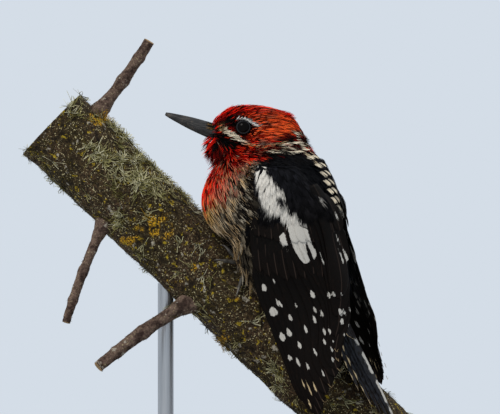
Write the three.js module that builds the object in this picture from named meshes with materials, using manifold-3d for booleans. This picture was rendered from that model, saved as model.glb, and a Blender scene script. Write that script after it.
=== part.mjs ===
// A red-breasted sapsucker clinging to a cut length of branch, held on a plain display stand.
// Millimetres, +Z up. The origin is the middle of the base's underside.
// The bird faces -X, its left side is turned to -Y.
import * as THREE from 'three';
import { mergeVertices } from 'three/addons/utils/BufferGeometryUtils.js';
import Module from 'manifold-3d';

const wasm = await Module();
wasm.setup();

// ---- driving dimensions -------------------------------------------------------------------
const GAP = 0.3;                    // clearance kept between neighbouring parts
const CUT_GAP = GAP + 0.1;          // clearance left by a cut whose sides are faceted
const BODY_AT = [20, 0, 166];       // middle of the body above the base
const BODY_LEAN = 18;               // degrees of the body's axis from upright, head end to -X
const BACK_TURN = 25;               // degrees that the back is turned towards -Y
const HEAD_PITCH = 9;               // degrees of the skull's axis above level
const BILL_PITCH = 20.3;            // degrees of the bill above level
const BILL_LENGTH = 24;
const BILL_DEPTH = 7.4;
const BILL_WIDTH = 6.6;
const EYE_RADIUS = 3.9;
const EYE_AT = [-13.75, 37.75];     // x and z of the eyes in the body's frame
const EYE_SET_IN = 2.2;             // an eye's centre below the plumage
const LID_RADIUS = 3.35;
const LID_THICKNESS = 0.65;
const LID_OUT = 2.35;               // the lid ring's plane beyond the eye's centre
const TAIL_LENGTH = 75;
const BRANCH_RADIUS = 21;
const BRANCH_SLOPE = 44;            // degrees below level, towards +X
const BRANCH_AT = [-40.5, 25, -27.5];
const BRANCH_ENDS = [-97, 142];     // along the branch, from BRANCH_AT
const BASE_SIZE = [200, 116, 14];
const BASE_CORNER = 18;
const BASE_BEVEL = 1.5;
const ROD_RADIUS = 4;
const ROD_X = [-33, 44];

const RAD = Math.PI / 180;
const V = (x, y, z) => new THREE.Vector3(x, y, z);

// ---- small tools --------------------------------------------------------------------------
function randomizer(seed) {
  let state = seed;
  return () => {
    state = (state * 1664525 + 1013904223) % 4294967296;
    return state / 4294967296;
  };
}

function solid(geometry) {
  const bare = geometry.clone();
  bare.deleteAttribute('normal');
  bare.deleteAttribute('uv');
  const merged = mergeVertices(bare, 1e-4);
  return new wasm.Manifold(new wasm.Mesh({
    numProp: 3,
    vertProperties: new Float32Array(merged.attributes.position.array),
    triVerts: new Uint32Array(merged.index.array),
  }));
}

function largest(body) {
  const pieces = body.decompose();
  pieces.sort((a, b) => b.volume() - a.volume());
  return pieces[0];
}

function geometryOf(body) {
  const mesh = body.getMesh();
  const geometry = new THREE.BufferGeometry();
  geometry.setAttribute('position', new THREE.BufferAttribute(mesh.vertProperties, 3));
  geometry.setIndex(new THREE.BufferAttribute(mesh.triVerts, 1));
  return geometry;
}

const joined = (bodies) => bodies.reduce((whole, body) => whole.add(body));

// A curve through points (t, value...), read at t by smooth interpolation.
function track(rows) {
  return (t) => {
    let i = 0;
    while (i < rows.length - 2 && t > rows[i + 1][0]) i += 1;
    const [a, b] = [rows[i], rows[i + 1]];
    const before = rows[Math.max(0, i - 1)];
    const after = rows[Math.min(rows.length - 1, i + 2)];
    const span = b[0] - a[0];
    const f = Math.min(1, Math.max(0, (t - a[0]) / span));
    return a.slice(1).map((value, k) => {
      const next = b[k + 1];
      const slopeA = i > 0 ? (next - before[k + 1]) / (b[0] - before[0]) : (next - value) / span;
      const slopeB = after !== b ? (after[k + 1] - value) / (after[0] - a[0])
        : (next - value) / span;
      const f2 = f * f;
      const f3 = f2 * f;
      return (2 * f3 - 3 * f2 + 1) * value + (f3 - 2 * f2 + f) * span * slopeA
        + (-2 * f3 + 3 * f2) * next + (f3 - f2) * span * slopeB;
    });
  };
}

// A turned form bent along a curve: radii [across, up] at t from 0 to 1, and both its ends
// moved out by extend.
function bentRod(curve, radiiAt, steps, sides, up = V(0, 0, 1), extend = 0) {
  const profile = [new THREE.Vector2(0, 0)];
  for (let i = 0; i <= steps; i += 1) profile.push(new THREE.Vector2(1, i / steps));
  profile.push(new THREE.Vector2(0, 1));
  const geometry = new THREE.LatheGeometry(profile, sides);
  const position = geometry.attributes.position;
  const place = new THREE.Vector3();
  for (let i = 0; i < position.count; i += 1) {
    const t = position.getY(i);
    const [across, tall] = radiiAt(t, Math.atan2(position.getZ(i), position.getX(i)));
    const along = curve.getTangent(t);
    const side = up.clone().cross(along).normalize();
    const high = along.clone().cross(side).normalize();
    curve.getPoint(t, place);
    if (t < 0.001) place.addScaledVector(along, -extend);
    if (t > 0.999) place.addScaledVector(along, extend);
    place.addScaledVector(side, position.getX(i) * across);
    place.addScaledVector(high, position.getZ(i) * tall);
    position.setXYZ(i, place.x, place.y, place.z);
  }
  const body = solid(geometry);
  return body.volume() > 0 ? body : solid(flipped(geometry));
}

function flipped(geometry) {
  const turned = geometry.clone();
  const index = turned.index.array;
  for (let i = 0; i < index.length; i += 3) [index[i], index[i + 1]] = [index[i + 1], index[i]];
  return turned;
}

// A feather: a thin closed vane. place(u, v, h) gives the point at the fraction u of its
// length, v mm across from the shaft and h mm above the surface that it lies on.
function vane(place, { width, thick = 0.7, steps = 6, across = 2, lift = () => 0, tilt = 0,
  outline = blunt }) {
  const top = [];
  const under = [];
  for (let i = 0; i <= steps; i += 1) {
    const u = i / steps;
    const half = Math.max(0.16, outline(u) * width / 2);
    const height = thick * Math.min(1, 0.35 + 3 * (1 - u));
    for (let j = 0; j <= across; j += 1) {
      const v = (2 * j / across - 1) * half;
      const crown = 0.25 * (1 - (v / half) ** 2);
      const h = lift(u) + tilt * v + crown;
      top.push(place(u, v, h));
      under.push(place(u, v, h - height));
    }
  }
  const points = [...top, ...under];
  const count = top.length;
  const row = across + 1;
  const index = [];
  const quad = (a, b, c, d) => index.push(a, b, c, a, c, d);
  for (let i = 0; i < steps; i += 1) {
    for (let j = 0; j < across; j += 1) {
      const a = i * row + j;
      quad(a, a + 1, a + row + 1, a + row);
      index.push(count + a, count + a + row + 1, count + a + 1);
      index.push(count + a, count + a + row, count + a + row + 1);
    }
    const left = i * row;
    const right = left + across;
    quad(left, left + row, count + left + row, count + left);
    quad(right, count + right, count + right + row, right + row);
  }
  for (let j = 0; j < across; j += 1) {
    const last = steps * row + j;
    quad(j, count + j, count + j + 1, j + 1);
    quad(last, last + 1, count + last + 1, count + last);
  }
  const geometry = new THREE.BufferGeometry().setFromPoints(points);
  geometry.setIndex(index);
  const body = solid(geometry);
  return body.volume() > 0 ? body : solid(flipped(geometry));
}

const blunt = (u) => Math.min(1, 0.5 + 2.2 * u) * Math.sqrt(Math.max(0, 1 - (Math.max(0,
  u - 0.72) / 0.28) ** 2));
const pointed = (u) => Math.min(1, 0.55 + 1.8 * u) * (1 - Math.max(0, (u - 0.55) / 0.45) ** 1.7);
const leafy = (u) => Math.sin(Math.PI * Math.min(1, 0.22 + 0.78 * u)) ** 0.7;

// ---- the body's frames --------------------------------------------------------------------
// The torso's axes: towards the head, out of the back, and to the bird's left.
const LEAN = BODY_LEAN * RAD;
const TURN = BACK_TURN * RAD;
const AXIS = V(-Math.sin(LEAN), 0, Math.cos(LEAN));
const BACK = V(Math.cos(LEAN) * Math.cos(TURN), -Math.sin(TURN), Math.sin(LEAN) * Math.cos(TURN));
const LEFT = BACK.clone().cross(AXIS);
const torsoPoint = (left, back, along) => V(0, 0, 0).addScaledVector(LEFT, left)
  .addScaledVector(BACK, back).addScaledVector(AXIS, along);

// Axes that point to the bill, to the bird's left and out of the crown, pitched up by degrees.
const headAxes = (pitch) => [V(-Math.cos(pitch * RAD), 0, Math.sin(pitch * RAD)), V(0, -1, 0),
  V(Math.sin(pitch * RAD), 0, Math.cos(pitch * RAD))];

// ---- the plumage's outer form: smoothly blended ellipsoids ---------------------------------
const FORMS = [];
function form(at, radii, axes) {
  FORMS.push({ at, radii, axes });
}
const skull = headAxes(HEAD_PITCH);
const level = headAxes(0);
form(V(-7, 0, 34), [21, 13.6, 14.3], skull);            // cranium
form(V(-19.5, 0, 36), [9.5, 8, 8], skull);              // forehead and lores
form(V(-19, 0, 28.5), [12.5, 9.5, 7.5], level);         // chin and cheeks
form(V(4.3, 0, 31.7), [11.3, 12.5, 12.6], level);       // nape
form(V(-1.5, 0, 18.5), [23, 17.5, 14], level);          // neck
const trunk = [LEFT, BACK, AXIS];
form(torsoPoint(0, -1.5, 5), [26.5, 33, 25], trunk);    // breast and shoulders
form(torsoPoint(0, 9, -8), [21, 24, 27], trunk);        // mantle
form(torsoPoint(0, 2, -21), [23, 26, 33], trunk);       // belly and flanks
form(torsoPoint(0, 12.5, -40), [14.5, 16, 24], trunk);  // rump
const BLEND = 5;

function ellipsoidDistance({ at, radii, axes }, point) {
  const offset = point.clone().sub(at);
  let near = 0;
  let far = 0;
  axes.forEach((axis, k) => {
    const part = offset.dot(axis) / radii[k];
    near += part * part;
    far += (part / radii[k]) ** 2;
  });
  near = Math.sqrt(near);
  return far > 0 ? near * (near - 1) / Math.sqrt(far) : -Math.min(...radii);
}

function bodyDistance(point) {
  let depth = 1e9;
  for (const shape of FORMS) {
    const next = ellipsoidDistance(shape, point);
    const mix = Math.max(BLEND - Math.abs(depth - next), 0) / BLEND;
    depth = Math.min(depth, next) - mix * mix * BLEND / 4;
  }
  return depth;
}

function bodyNormal(point) {
  const step = 0.2;
  const slope = (axis) => bodyDistance(point.clone().addScaledVector(axis, step))
    - bodyDistance(point.clone().addScaledVector(axis, -step));
  return V(slope(V(1, 0, 0)), slope(V(0, 1, 0)), slope(V(0, 0, 1))).normalize();
}

// Where a ray from inside leaves the plumage grown by a margin.
function surfaceAlong(from, direction, grow = 0) {
  let low = 0;
  let high = 130;
  for (let i = 0; i < 26; i += 1) {
    const middle = (low + high) / 2;
    const inside = bodyDistance(from.clone().addScaledVector(direction, middle)) < grow;
    if (inside) low = middle;
    else high = middle;
  }
  return from.clone().addScaledVector(direction, low);
}

function bodySolid(from, detail, stretch, grow = 0) {
  const geometry = new THREE.IcosahedronGeometry(1, detail);
  const position = geometry.attributes.position;
  for (let i = 0; i < position.count; i += 1) {
    const direction = V(0, 0, 0);
    [position.getX(i), position.getY(i), position.getZ(i)].forEach((value, k) => {
      direction.addScaledVector(trunk[k], value * stretch[k]);
    });
    const point = surfaceAlong(from, direction.normalize(), grow);
    position.setXYZ(i, point.x, point.y, point.z);
  }
  const body = solid(geometry);
  return body.volume() > 0 ? body : solid(flipped(mergeVertices(geometry)));
}

// A half space as a large box whose face passes through a point.
function beyond(point, normal) {
  const size = 300;
  const box = new THREE.BoxGeometry(size, size, size);
  box.translate(0, 0, size / 2);
  box.applyQuaternion(new THREE.Quaternion().setFromUnitVectors(V(0, 0, 1),
    normal.clone().normalize()));
  box.translate(point.x, point.y, point.z);
  return solid(box);
}

// ---- the branch ---------------------------------------------------------------------------
const SLOPE = BRANCH_SLOPE * RAD;
const ALONG = V(Math.cos(SLOPE), 0, -Math.sin(SLOPE));
const ABOVE = V(Math.sin(SLOPE), 0, Math.cos(SLOPE));
const NEAR = V(0, -1, 0);

// A point beside the branch: mm along it, degrees round from its top towards -Y, and mm out.
function branchPoint(along, degrees, out) {
  return V(...BRANCH_AT).addScaledVector(ALONG, along)
    .addScaledVector(ABOVE, Math.cos(degrees * RAD) * out)
    .addScaledVector(NEAR, Math.sin(degrees * RAD) * out);
}

function branchSolid(grow = 0) {
  const [start, end] = BRANCH_ENDS;
  const length = end - start;
  const curve = new THREE.LineCurve3(branchPoint(start, 0, 0), branchPoint(end, 0, 0));
  const radii = (t, angle) => {
    const s = start + t * length;
    const ridges = 0.35 * Math.sin(3 * angle + 0.07 * s) + 0.3 * Math.sin(5 * angle - 0.11 * s)
      + 0.3 * Math.sin(0.16 * s + 2 * angle);
    const taper = 0.006 * (s - 20);
    const radius = BRANCH_RADIUS - 0.6 - taper + ridges + grow;
    return [radius, radius];
  };
  return bentRod(curve, radii, 20, 16, V(0, 1, 0));
}

// Cut stubs of side twigs: where each leaves the branch, its direction, length and radius.
const TWIGS = [
  { along: -84, degrees: 10, toward: V(0.59, -0.12, 0.8), length: 44, radius: 3.4 },
  { along: 16, degrees: 148, toward: V(-0.8, -0.28, -0.56), length: 56, radius: 3.7 },
  { along: -44, degrees: 160, toward: V(-0.36, -0.2, -0.93), length: 52, radius: 2.7 },
];

function twigSolid({ along, degrees, toward, length, radius }) {
  const foot = branchPoint(along, degrees, BRANCH_RADIUS - 5);
  const way = toward.clone().normalize();
  const bow = V(way.z, 0, -way.x).multiplyScalar(length * 0.05);
  const curve = new THREE.QuadraticBezierCurve3(foot,
    foot.clone().addScaledVector(way, length / 2 + 2).add(bow),
    foot.clone().addScaledVector(way, length + 5));
  const radii = (t, angle) => {
    const collar = 2.6 * Math.exp(-((t * length) ** 2) / 60);
    const bark = 0.15 * Math.sin(3 * angle + 9 * t);
    return [radius * (1.05 - 0.2 * t) + collar + bark, radius * (1.05 - 0.2 * t) + collar - bark];
  };
  return bentRod(curve, radii, 5, 8, V(0, 1, 0));
}

const branch = joined([branchSolid(), ...TWIGS.map(twigSolid)]);
const branchGrown = branchSolid(CUT_GAP);

// ---- head, neck and torso -----------------------------------------------------------------
const HEAD_CUT = { at: V(-3, 0, 23), normal: V(-0.2, 0, 1) };
const NECK_CUT = { at: torsoPoint(0, 0, 17), normal: AXIS };
const shifted = ({ at, normal }, by) => at.clone().addScaledVector(normal.clone().normalize(), by);

function aboveCut(cut) {
  return beyond(shifted(cut, GAP / 2), cut.normal.clone().negate());
}
function belowCut(cut) {
  return beyond(shifted(cut, -GAP / 2), cut.normal);
}

function eyeCentre(side) {
  const middle = V(EYE_AT[0], 0, EYE_AT[1]);
  const surface = surfaceAlong(middle, V(0, side, 0));
  return surface.addScaledVector(V(0, side, 0), -EYE_SET_IN);
}

function ball(at, radius, detail = 3) {
  const geometry = new THREE.IcosahedronGeometry(radius, detail);
  geometry.translate(at.x, at.y, at.z);
  return solid(geometry);
}

const EYES = { left: eyeCentre(-1), right: eyeCentre(1) };

function lidRing(at, side) {
  const geometry = new THREE.TorusGeometry(LID_RADIUS, LID_THICKNESS, 5, 16);
  geometry.rotateX(Math.PI / 2);
  geometry.scale(1, 1, 0.92);
  geometry.translate(at.x, at.y + side * LID_OUT, at.z);
  return solid(geometry);
}

const headForm = (grow = 0) => bodySolid(V(-8, 0, 33), 7, [1, 1, 1], grow);

function headSolid() {
  let head = headForm();
  const tufts = headTufts().subtract(billWhole(CUT_GAP));
  head = head.add(tufts).subtract(aboveCut(HEAD_CUT));
  for (const [name, side] of [['left', -1], ['right', 1]]) {
    head = head.add(lidRing(EYES[name], side));
    head = head.subtract(ball(EYES[name], EYE_RADIUS + CUT_GAP, 2));
  }
  return largest(head);
}

function neckSolid() {
  const neck = bodySolid(V(-3, 0, 19), 7, [1, 1, 1]);
  return largest(neck.subtract(belowCut(HEAD_CUT)).subtract(aboveCut(NECK_CUT)));
}

function torsoSolid(grow = 0) {
  return bodySolid(torsoPoint(0, 2, -12), 6, [1, 1, 1.5], grow);
}

// ---- bill ---------------------------------------------------------------------------------
const BILL_TIP = V(-52.75, 0, 44.75);
const billAxes = headAxes(BILL_PITCH);

function billWhole(grow = 0) {
  const root = BILL_TIP.clone().addScaledVector(billAxes[0], -BILL_LENGTH - 8);
  const curve = new THREE.LineCurve3(root, BILL_TIP);
  const shape = track([[0, 4.2, 4.6], [0.25, BILL_WIDTH / 2, BILL_DEPTH / 2], [0.55, 2.5, 2.95],
    [0.8, 1.5, 1.9], [0.95, 0.75, 1.1], [1, 0.45, 0.7]]);
  const radii = (t, angle) => {
    const [wide, tall] = shape(t);
    const ridge = 1 + 0.06 * Math.cos(4 * angle);
    return [wide * ridge + grow, tall * ridge + grow];
  };
  return bentRod(curve, radii, 10, 12, V(0, 0, 1), grow);
}

// ---- feathers on the body -----------------------------------------------------------------
// A small feather that grows out of the plumage at a point and points along a direction.
function tuft(at, direction, { length, width, rise, sink = 1.5 }) {
  const normal = bodyNormal(at);
  const along = direction.clone().addScaledVector(normal, -direction.dot(normal)).normalize();
  const side = normal.clone().cross(along).normalize();
  return vane((u, v, h) => at.clone()
    .addScaledVector(along, (u - 0.15) * length)
    .addScaledVector(side, v)
    .addScaledVector(normal, h - sink + (rise + sink) * u), {
    width, thick: 0.9, steps: 3, outline: leafy,
  });
}

// Rows of ragged feathers on chin, throat and nape. A ray from each row's centre finds where
// a feather grows: turn is its degrees round from the front, to the bird's right, and rise
// its slope.
const TUFT_ROWS = [
  { from: V(-14, 0, 31), turns: [-55, -25, 0, 25, 55], rise: -0.6, fall: V(0.3, 0, -1),
    length: 7.5, width: 3.2, lift: 1.1 },
  { from: V(-14, 0, 31), turns: [-70, -40, -14, 14, 40, 70], rise: -0.95, fall: V(0.25, 0, -1),
    length: 7.5, width: 3.2, lift: 1.5 },
  { from: V(2, 0, 32), turns: [115, 140, 165, 195, 220, 245], rise: 0.3, fall: V(0.6, 0, -1),
    length: 8, width: 3.4, lift: 0.5 },
  { from: V(2, 0, 32), turns: [105, 130, 155, 180, 205, 230, 255], rise: -0.1,
    fall: V(0.5, 0, -1), length: 8, width: 3.4, lift: 0.8 },
];

function headTufts() {
  const random = randomizer(5);
  const tufts = [];
  for (const row of TUFT_ROWS) {
    for (const turn of row.turns) {
      const angle = (turn + 6 * (random() - 0.5)) * RAD;
      const way = V(-Math.cos(angle), Math.sin(angle), row.rise).normalize();
      const at = surfaceAlong(row.from, way);
      tufts.push(tuft(at, row.fall, {
        length: row.length + 2 * random(), width: row.width, rise: row.lift,
      }));
    }
  }
  // Bristles that cover the nostrils, on either side of the bill's root.
  for (const side of [-1, 1]) {
    for (const height of [2.2, 0]) {
      const way = V(-1, 0.3 * side, 0.06 + 0.05 * height);
      const at = surfaceAlong(V(-16, 0, 33), way.normalize());
      tufts.push(tuft(at, V(-1, 0.12 * side, 0.22), {
        length: 7, width: 2.2, rise: 0.4, sink: 1.6,
      }));
    }
  }
  return joined(tufts);
}

// ---- wings --------------------------------------------------------------------------------
// Each wing lies on a sheet between its leading edge and its inner edge, given as
// [along, back, left] in the torso's frame. q is 0 at the leading edge and 1 at the inner one.
const WING_EDGES = {
  left: {
    lead: track([[-112, -7, 17], [-105, -7.7, 17], [-94, -9.2, 17.2], [-80, -8.8, 17.4],
      [-61, -10.3, 19.5], [-38, -11.2, 23.3], [-15, -4.5, 25], [3, 3, 25.5], [24, 9, 22]]),
    inner: track([[-112, 15, 12.5], [-94, 15, 13.5], [-80, 15.8, 13], [-65, 23, 7.5],
      [-50, 28, 3.5], [-30, 32, 2.5], [-10, 33, 4], [10, 27, 7], [24, 19, 9]]),
  },
  right: {
    lead: track([[-106, 12.5, -22], [-95, 12, -23], [-80, 8.5, -25], [-61, 3.5, -26.5],
      [-40, -1, -27.5], [-15, -3, -27.5], [3, 2, -27], [24, 8, -24]]),
    inner: track([[-106, 21, -19], [-84, 22.3, -18], [-70, 26.8, -13], [-50, 30, -6],
      [-30, 32.5, -3], [-10, 33, -4], [10, 27, -7], [24, 19, -9]]),
  },
};
const WING_CLEAR = 1.0;
const WING_BULGE = 4;
const WING_TILT = 0.19;

function wingSheet(side, s, q, h) {
  const { lead, inner } = WING_EDGES[side];
  const [leadBack, leadLeft] = lead(s);
  const [innerBack, innerLeft] = inner(s);
  const sign = side === 'left' ? 1 : -1;
  const chord = V(innerLeft - leadLeft, innerBack - leadBack, 0);
  const outward = V(chord.y * sign, -chord.x * sign, 0).normalize();
  const bulge = WING_BULGE * Math.sin(Math.PI * Math.min(1, Math.max(0, q)));
  const flat = V(leadLeft, leadBack, 0).addScaledVector(chord, q).addScaledVector(outward, bulge);
  const point = torsoPoint(flat.x, flat.y, s);
  const away = torsoPoint(outward.x, outward.y, 0);
  const short = WING_CLEAR - bodyDistance(point);
  const push = (short + Math.hypot(short, 2)) / 2;
  const normal = bodyNormal(point).lerp(away, 1 / (1 + push)).normalize();
  return point.addScaledVector(normal, push + h);
}

function wingVane(side, root, tip, options) {
  const { lead, inner } = WING_EDGES[side];
  const sign = side === 'left' ? 1 : -1;
  return vane((u, v, h) => {
    const s = root[0] + (tip[0] - root[0]) * u;
    const ease = u * u * (3 - 2 * u);
    const q = root[1] + (tip[1] - root[1]) * ease;
    const [a, b] = [lead(s), inner(s)];
    const width = Math.max(16, Math.hypot(a[0] - b[0], a[1] - b[1]));
    return wingSheet(side, s, q + v / width, h);
  }, { tilt: -WING_TILT, ...options });
}

// Feather tips along the trailing edge, as [along, q], from the leading primary inwards.
const FLIGHT_TIPS = {
  left: [[-101, 0.06], [-107, 0.13], [-109, 0.21], [-106, 0.32], [-102, 0.43], [-99, 0.57],
    [-95.5, 0.71], [-92, 0.85], [-89, 0.93], [-84.5, 0.96], [-80, 0.97]],
  right: [[-96, 0.08], [-102, 0.16], [-104, 0.25], [-102, 0.37], [-99, 0.5], [-96, 0.62],
    [-93, 0.75], [-90, 0.86], [-87, 0.93], [-84, 0.97], [-80, 0.98]],
};
const TERTIAL_TIPS = [[-73, 0.92], [-64, 0.9], [-55, 0.88]];

function wingSolid(side) {
  const random = randomizer(side === 'left' ? 11 : 23);
  const parts = [];
  // The arm: a pad of muscle and small coverts that the feathers grow from.
  parts.push(vane((u, v, h) => {
    const q = 0.47 + v / 30;
    return wingSheet(side, 22 - 13 * q - 50 * u, q, h);
  }, {
    width: 28, thick: 3.4, steps: 7, across: 4, lift: () => 0.9,
    outline: (u) => Math.sin(Math.PI * (0.16 + 0.72 * u)) ** 0.6,
  }));
  FLIGHT_TIPS[side].forEach((tip, i) => {
    const share = i / (FLIGHT_TIPS[side].length - 1);
    const root = [2 - 10 * share, 0.1 + 0.52 * share];
    parts.push(wingVane(side, root, tip, {
      width: 9 + 1.5 * share, steps: 5, across: 1, lift: (u) => 0.2 + (0.3 + 0.5 * share) * u,
    }));
  });
  TERTIAL_TIPS.forEach((tip, i) => {
    parts.push(wingVane(side, [-6 + 4 * i, 0.74 + 0.06 * i], tip, {
      width: 10.5, steps: 5, lift: (u) => 0.6 + (0.9 + 0.5 * i) * u,
    }));
  });
  const rows = [
    { count: 6, start: -2, reach: 25, width: 9.5, lift: 1.2, from: 0.09, to: 0.94 },
    { count: 5, start: 9, reach: 18, width: 10.5, lift: 1.6, from: 0.1, to: 0.93 },
    { count: 4, start: 19, reach: 14, width: 12, lift: 1.9, from: 0.13, to: 0.9 },
  ];
  for (const row of rows) {
    for (let i = 0; i < row.count; i += 1) {
      const share = i / (row.count - 1);
      const q = row.from + (row.to - row.from) * share;
      const droop = 5 * Math.sin(Math.PI * share) + 2 * (random() - 0.5);
      const start = row.start - 11 * q;
      parts.push(wingVane(side, [start, q], [start - row.reach - droop, q + 0.03], {
        width: row.width, thick: 0.9, steps: 3, across: 1,
        lift: (u) => (row.lift + 0.9) * Math.sqrt(u) - 0.9,
      }));
    }
  }
  return joined(parts);
}

// ---- tail ---------------------------------------------------------------------------------
const TAIL_BASE = torsoPoint(0, 14.5, -50);
const TAIL_TIP = V(62.7, 4.2, -106.7);
const tailAlong = TAIL_TIP.clone().sub(TAIL_BASE).normalize();
const tailSide = LEFT.clone().addScaledVector(tailAlong, -LEFT.dot(tailAlong)).normalize();
const tailUp = tailAlong.clone().cross(tailSide).normalize();
if (tailUp.dot(BACK) < 0) tailUp.negate();
const TAIL_ROOF = 0.42;

function tailPoint(along, v, h) {
  const curl = 3 * Math.max(0, along / TAIL_LENGTH) ** 2;
  return TAIL_BASE.clone().addScaledVector(tailAlong, along)
    .addScaledVector(tailSide, v)
    .addScaledVector(tailUp, h + 2 - curl - TAIL_ROOF * Math.sqrt(v * v + 4));
}

function tailSolid() {
  const parts = [];
  parts.push(vane((u, v, h) => tailPoint(-6 + 28 * u, v, h), {
    width: 12, thick: 5, steps: 5, across: 4, lift: () => 0.4, outline: (u) => 1 - 0.75 * u * u,
  }));
  for (let pair = 4; pair >= 0; pair -= 1) {
    for (const sign of [-1, 1]) {
      const length = TAIL_LENGTH - [0, 2, 7, 14, 24][pair];
      parts.push(vane((u, v, h) => {
        const along = -2 + (length + 2) * u;
        return tailPoint(along, sign * (1 + pair * (0.5 + 1.9 * u)) + v, h);
      }, {
        width: 7.5 - 0.5 * pair, thick: 0.8, steps: 6, across: 1, lift: () => -0.62 * pair,
        outline: pointed,
      }));
    }
  }
  return joined(parts);
}

// ---- legs and feet ------------------------------------------------------------------------
const FEET = {
  left: { along: 24, degrees: 45, hip: torsoPoint(10, -12, -30) },
  right: { along: 24, degrees: -2, hip: torsoPoint(-10, -12, -30) },
};
const TOE_OUT = 1.7;
const CLAW_LENGTH = 5.2;
// Toes as [mm along the branch, degrees round it] from the pad to the last joint.
const TOES = {
  left: [[[-6, 1], [-12, 0]], [[-6, 6], [-10.5, 16]], [[1, 11], [4, 29]], [[5, 2], [9, 8]]],
  right: [[[-6, 1], [-12, 0]], [[-6, -7], [-10, -20]], [[1, -11], [4, -29]], [[5, -2], [9, -8]]],
};

function toeCurve(side, toe) {
  const { along, degrees } = FEET[side];
  const stops = [[0, 0], ...TOES[side][toe]];
  return stops.map(([ds, dd]) => branchPoint(along + ds, degrees + dd, BRANCH_RADIUS + TOE_OUT));
}

function footSolid(side, grow = 0) {
  const { along, degrees, hip } = FEET[side];
  const parts = [];
  TOES[side].forEach((_, toe) => {
    const points = toeCurve(side, toe);
    const curve = new THREE.CatmullRomCurve3(points);
    const radii = (t) => {
      const radius = 1.25 - 0.25 * t + 0.1 * Math.cos(6 * Math.PI * t) + grow;
      return [radius, radius];
    };
    parts.push(bentRod(curve, radii, 6, 6, points[0].clone().sub(V(...BRANCH_AT)).normalize(),
      grow));
  });
  const pad = branchPoint(along, degrees, BRANCH_RADIUS + TOE_OUT);
  const heel = pad.clone().lerp(hip, 0.6);
  const shank = new THREE.CatmullRomCurve3([pad, pad.clone().lerp(heel, 0.5), heel]);
  parts.push(bentRod(shank, () => [1.35 + grow, 1.35 + grow], 3, 8, AXIS, grow));
  return joined(parts);
}

// A claw starts a gap beyond its toe's end and bends down until its tip meets the bark.
function clawSolid(side, toe, grow = 0) {
  const path = new THREE.CatmullRomCurve3(toeCurve(side, toe));
  const along = path.getTangent(1);
  const root = path.getPoint(1).addScaledVector(along, CUT_GAP);
  const axis = V(...BRANCH_AT).addScaledVector(ALONG, root.clone().sub(V(...BRANCH_AT)).dot(ALONG));
  const out = root.clone().sub(axis).normalize();
  const reach = (mm, rise) => root.clone().addScaledVector(along, mm).addScaledVector(out, rise);
  const tip = reach(CLAW_LENGTH, 0).sub(axis).setLength(BRANCH_RADIUS + 0.6).add(axis)
    .addScaledVector(ALONG, reach(CLAW_LENGTH, 0).sub(axis).dot(ALONG) * 0.1);
  const curve = new THREE.CubicBezierCurve3(root, reach(1.6, 0.3), reach(4.2, 0.9), tip);
  const radii = (t) => {
    const taper = 1 - 0.82 * t;
    return [0.75 * taper + grow, 0.95 * taper + grow];
  };
  return bentRod(curve, radii, 4, 6, out, grow);
}

// ---- stand --------------------------------------------------------------------------------
function baseSolid() {
  const [length, depth, height] = BASE_SIZE;
  const corner = BASE_CORNER;
  const outline = new THREE.Shape();
  outline.moveTo(-length / 2 + corner, -depth / 2);
  outline.lineTo(length / 2 - corner, -depth / 2);
  outline.absarc(length / 2 - corner, -depth / 2 + corner, corner, -Math.PI / 2, 0);
  outline.lineTo(length / 2, depth / 2 - corner);
  outline.absarc(length / 2 - corner, depth / 2 - corner, corner, 0, Math.PI / 2);
  outline.lineTo(-length / 2 + corner, depth / 2);
  outline.absarc(-length / 2 + corner, depth / 2 - corner, corner, Math.PI / 2, Math.PI);
  outline.lineTo(-length / 2, -depth / 2 + corner);
  outline.absarc(-length / 2 + corner, -depth / 2 + corner, corner, Math.PI, 1.5 * Math.PI);
  const bevel = BASE_BEVEL;
  const geometry = new THREE.ExtrudeGeometry(outline, {
    depth: height - bevel, bevelEnabled: true, bevelThickness: bevel, bevelSize: bevel,
    bevelOffset: -bevel, bevelSegments: 1, curveSegments: 5,
  });
  return solid(geometry).subtract(beyond(V(0, 0, 0), V(0, 0, -1)));
}

function rodSolid(x) {
  const foot = BASE_SIZE[2] + GAP;
  const at = V(BRANCH_AT[0] + BODY_AT[0], BRANCH_AT[1] + BODY_AT[1], BRANCH_AT[2] + BODY_AT[2]);
  const top = at.z - (x - at.x) * Math.tan(SLOPE);
  const geometry = new THREE.CylinderGeometry(ROD_RADIUS, ROD_RADIUS, top - foot, 24);
  geometry.rotateX(Math.PI / 2);
  geometry.translate(x, at.y, (top + foot) / 2);
  return solid(geometry).subtract(branchGrown.translate(...BODY_AT));
}

// ---- assembly -----------------------------------------------------------------------------
const group = new THREE.Group();
const finishes = {
  red: new THREE.MeshStandardMaterial({ color: 0xa8201a, roughness: 0.85 }),
  mottled: new THREE.MeshStandardMaterial({ color: 0x9a8a72, roughness: 0.9 }),
  black: new THREE.MeshStandardMaterial({ color: 0x17171a, roughness: 0.7 }),
  bill: new THREE.MeshStandardMaterial({ color: 0x2c2b2b, roughness: 0.45 }),
  eye: new THREE.MeshStandardMaterial({ color: 0x0b0a0a, roughness: 0.08 }),
  foot: new THREE.MeshStandardMaterial({ color: 0x4a4a44, roughness: 0.7 }),
  claw: new THREE.MeshStandardMaterial({ color: 0x2a2826, roughness: 0.4 }),
  bark: new THREE.MeshStandardMaterial({ color: 0x6a6152, roughness: 0.95 }),
  base: new THREE.MeshStandardMaterial({ color: 0x2b2622, roughness: 0.5 }),
  rod: new THREE.MeshStandardMaterial({ color: 0x8b8d90, roughness: 0.35, metalness: 0.9 }),
};

function put(name, body, finish, at = BODY_AT) {
  const mesh = new THREE.Mesh(geometryOf(body), finishes[finish].clone());
  mesh.name = name;
  mesh.position.set(...at);
  group.add(mesh);
}

let torso = torsoSolid().subtract(belowCut(NECK_CUT)).subtract(branchGrown);
const torsoGrown = torsoSolid(CUT_GAP);

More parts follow.
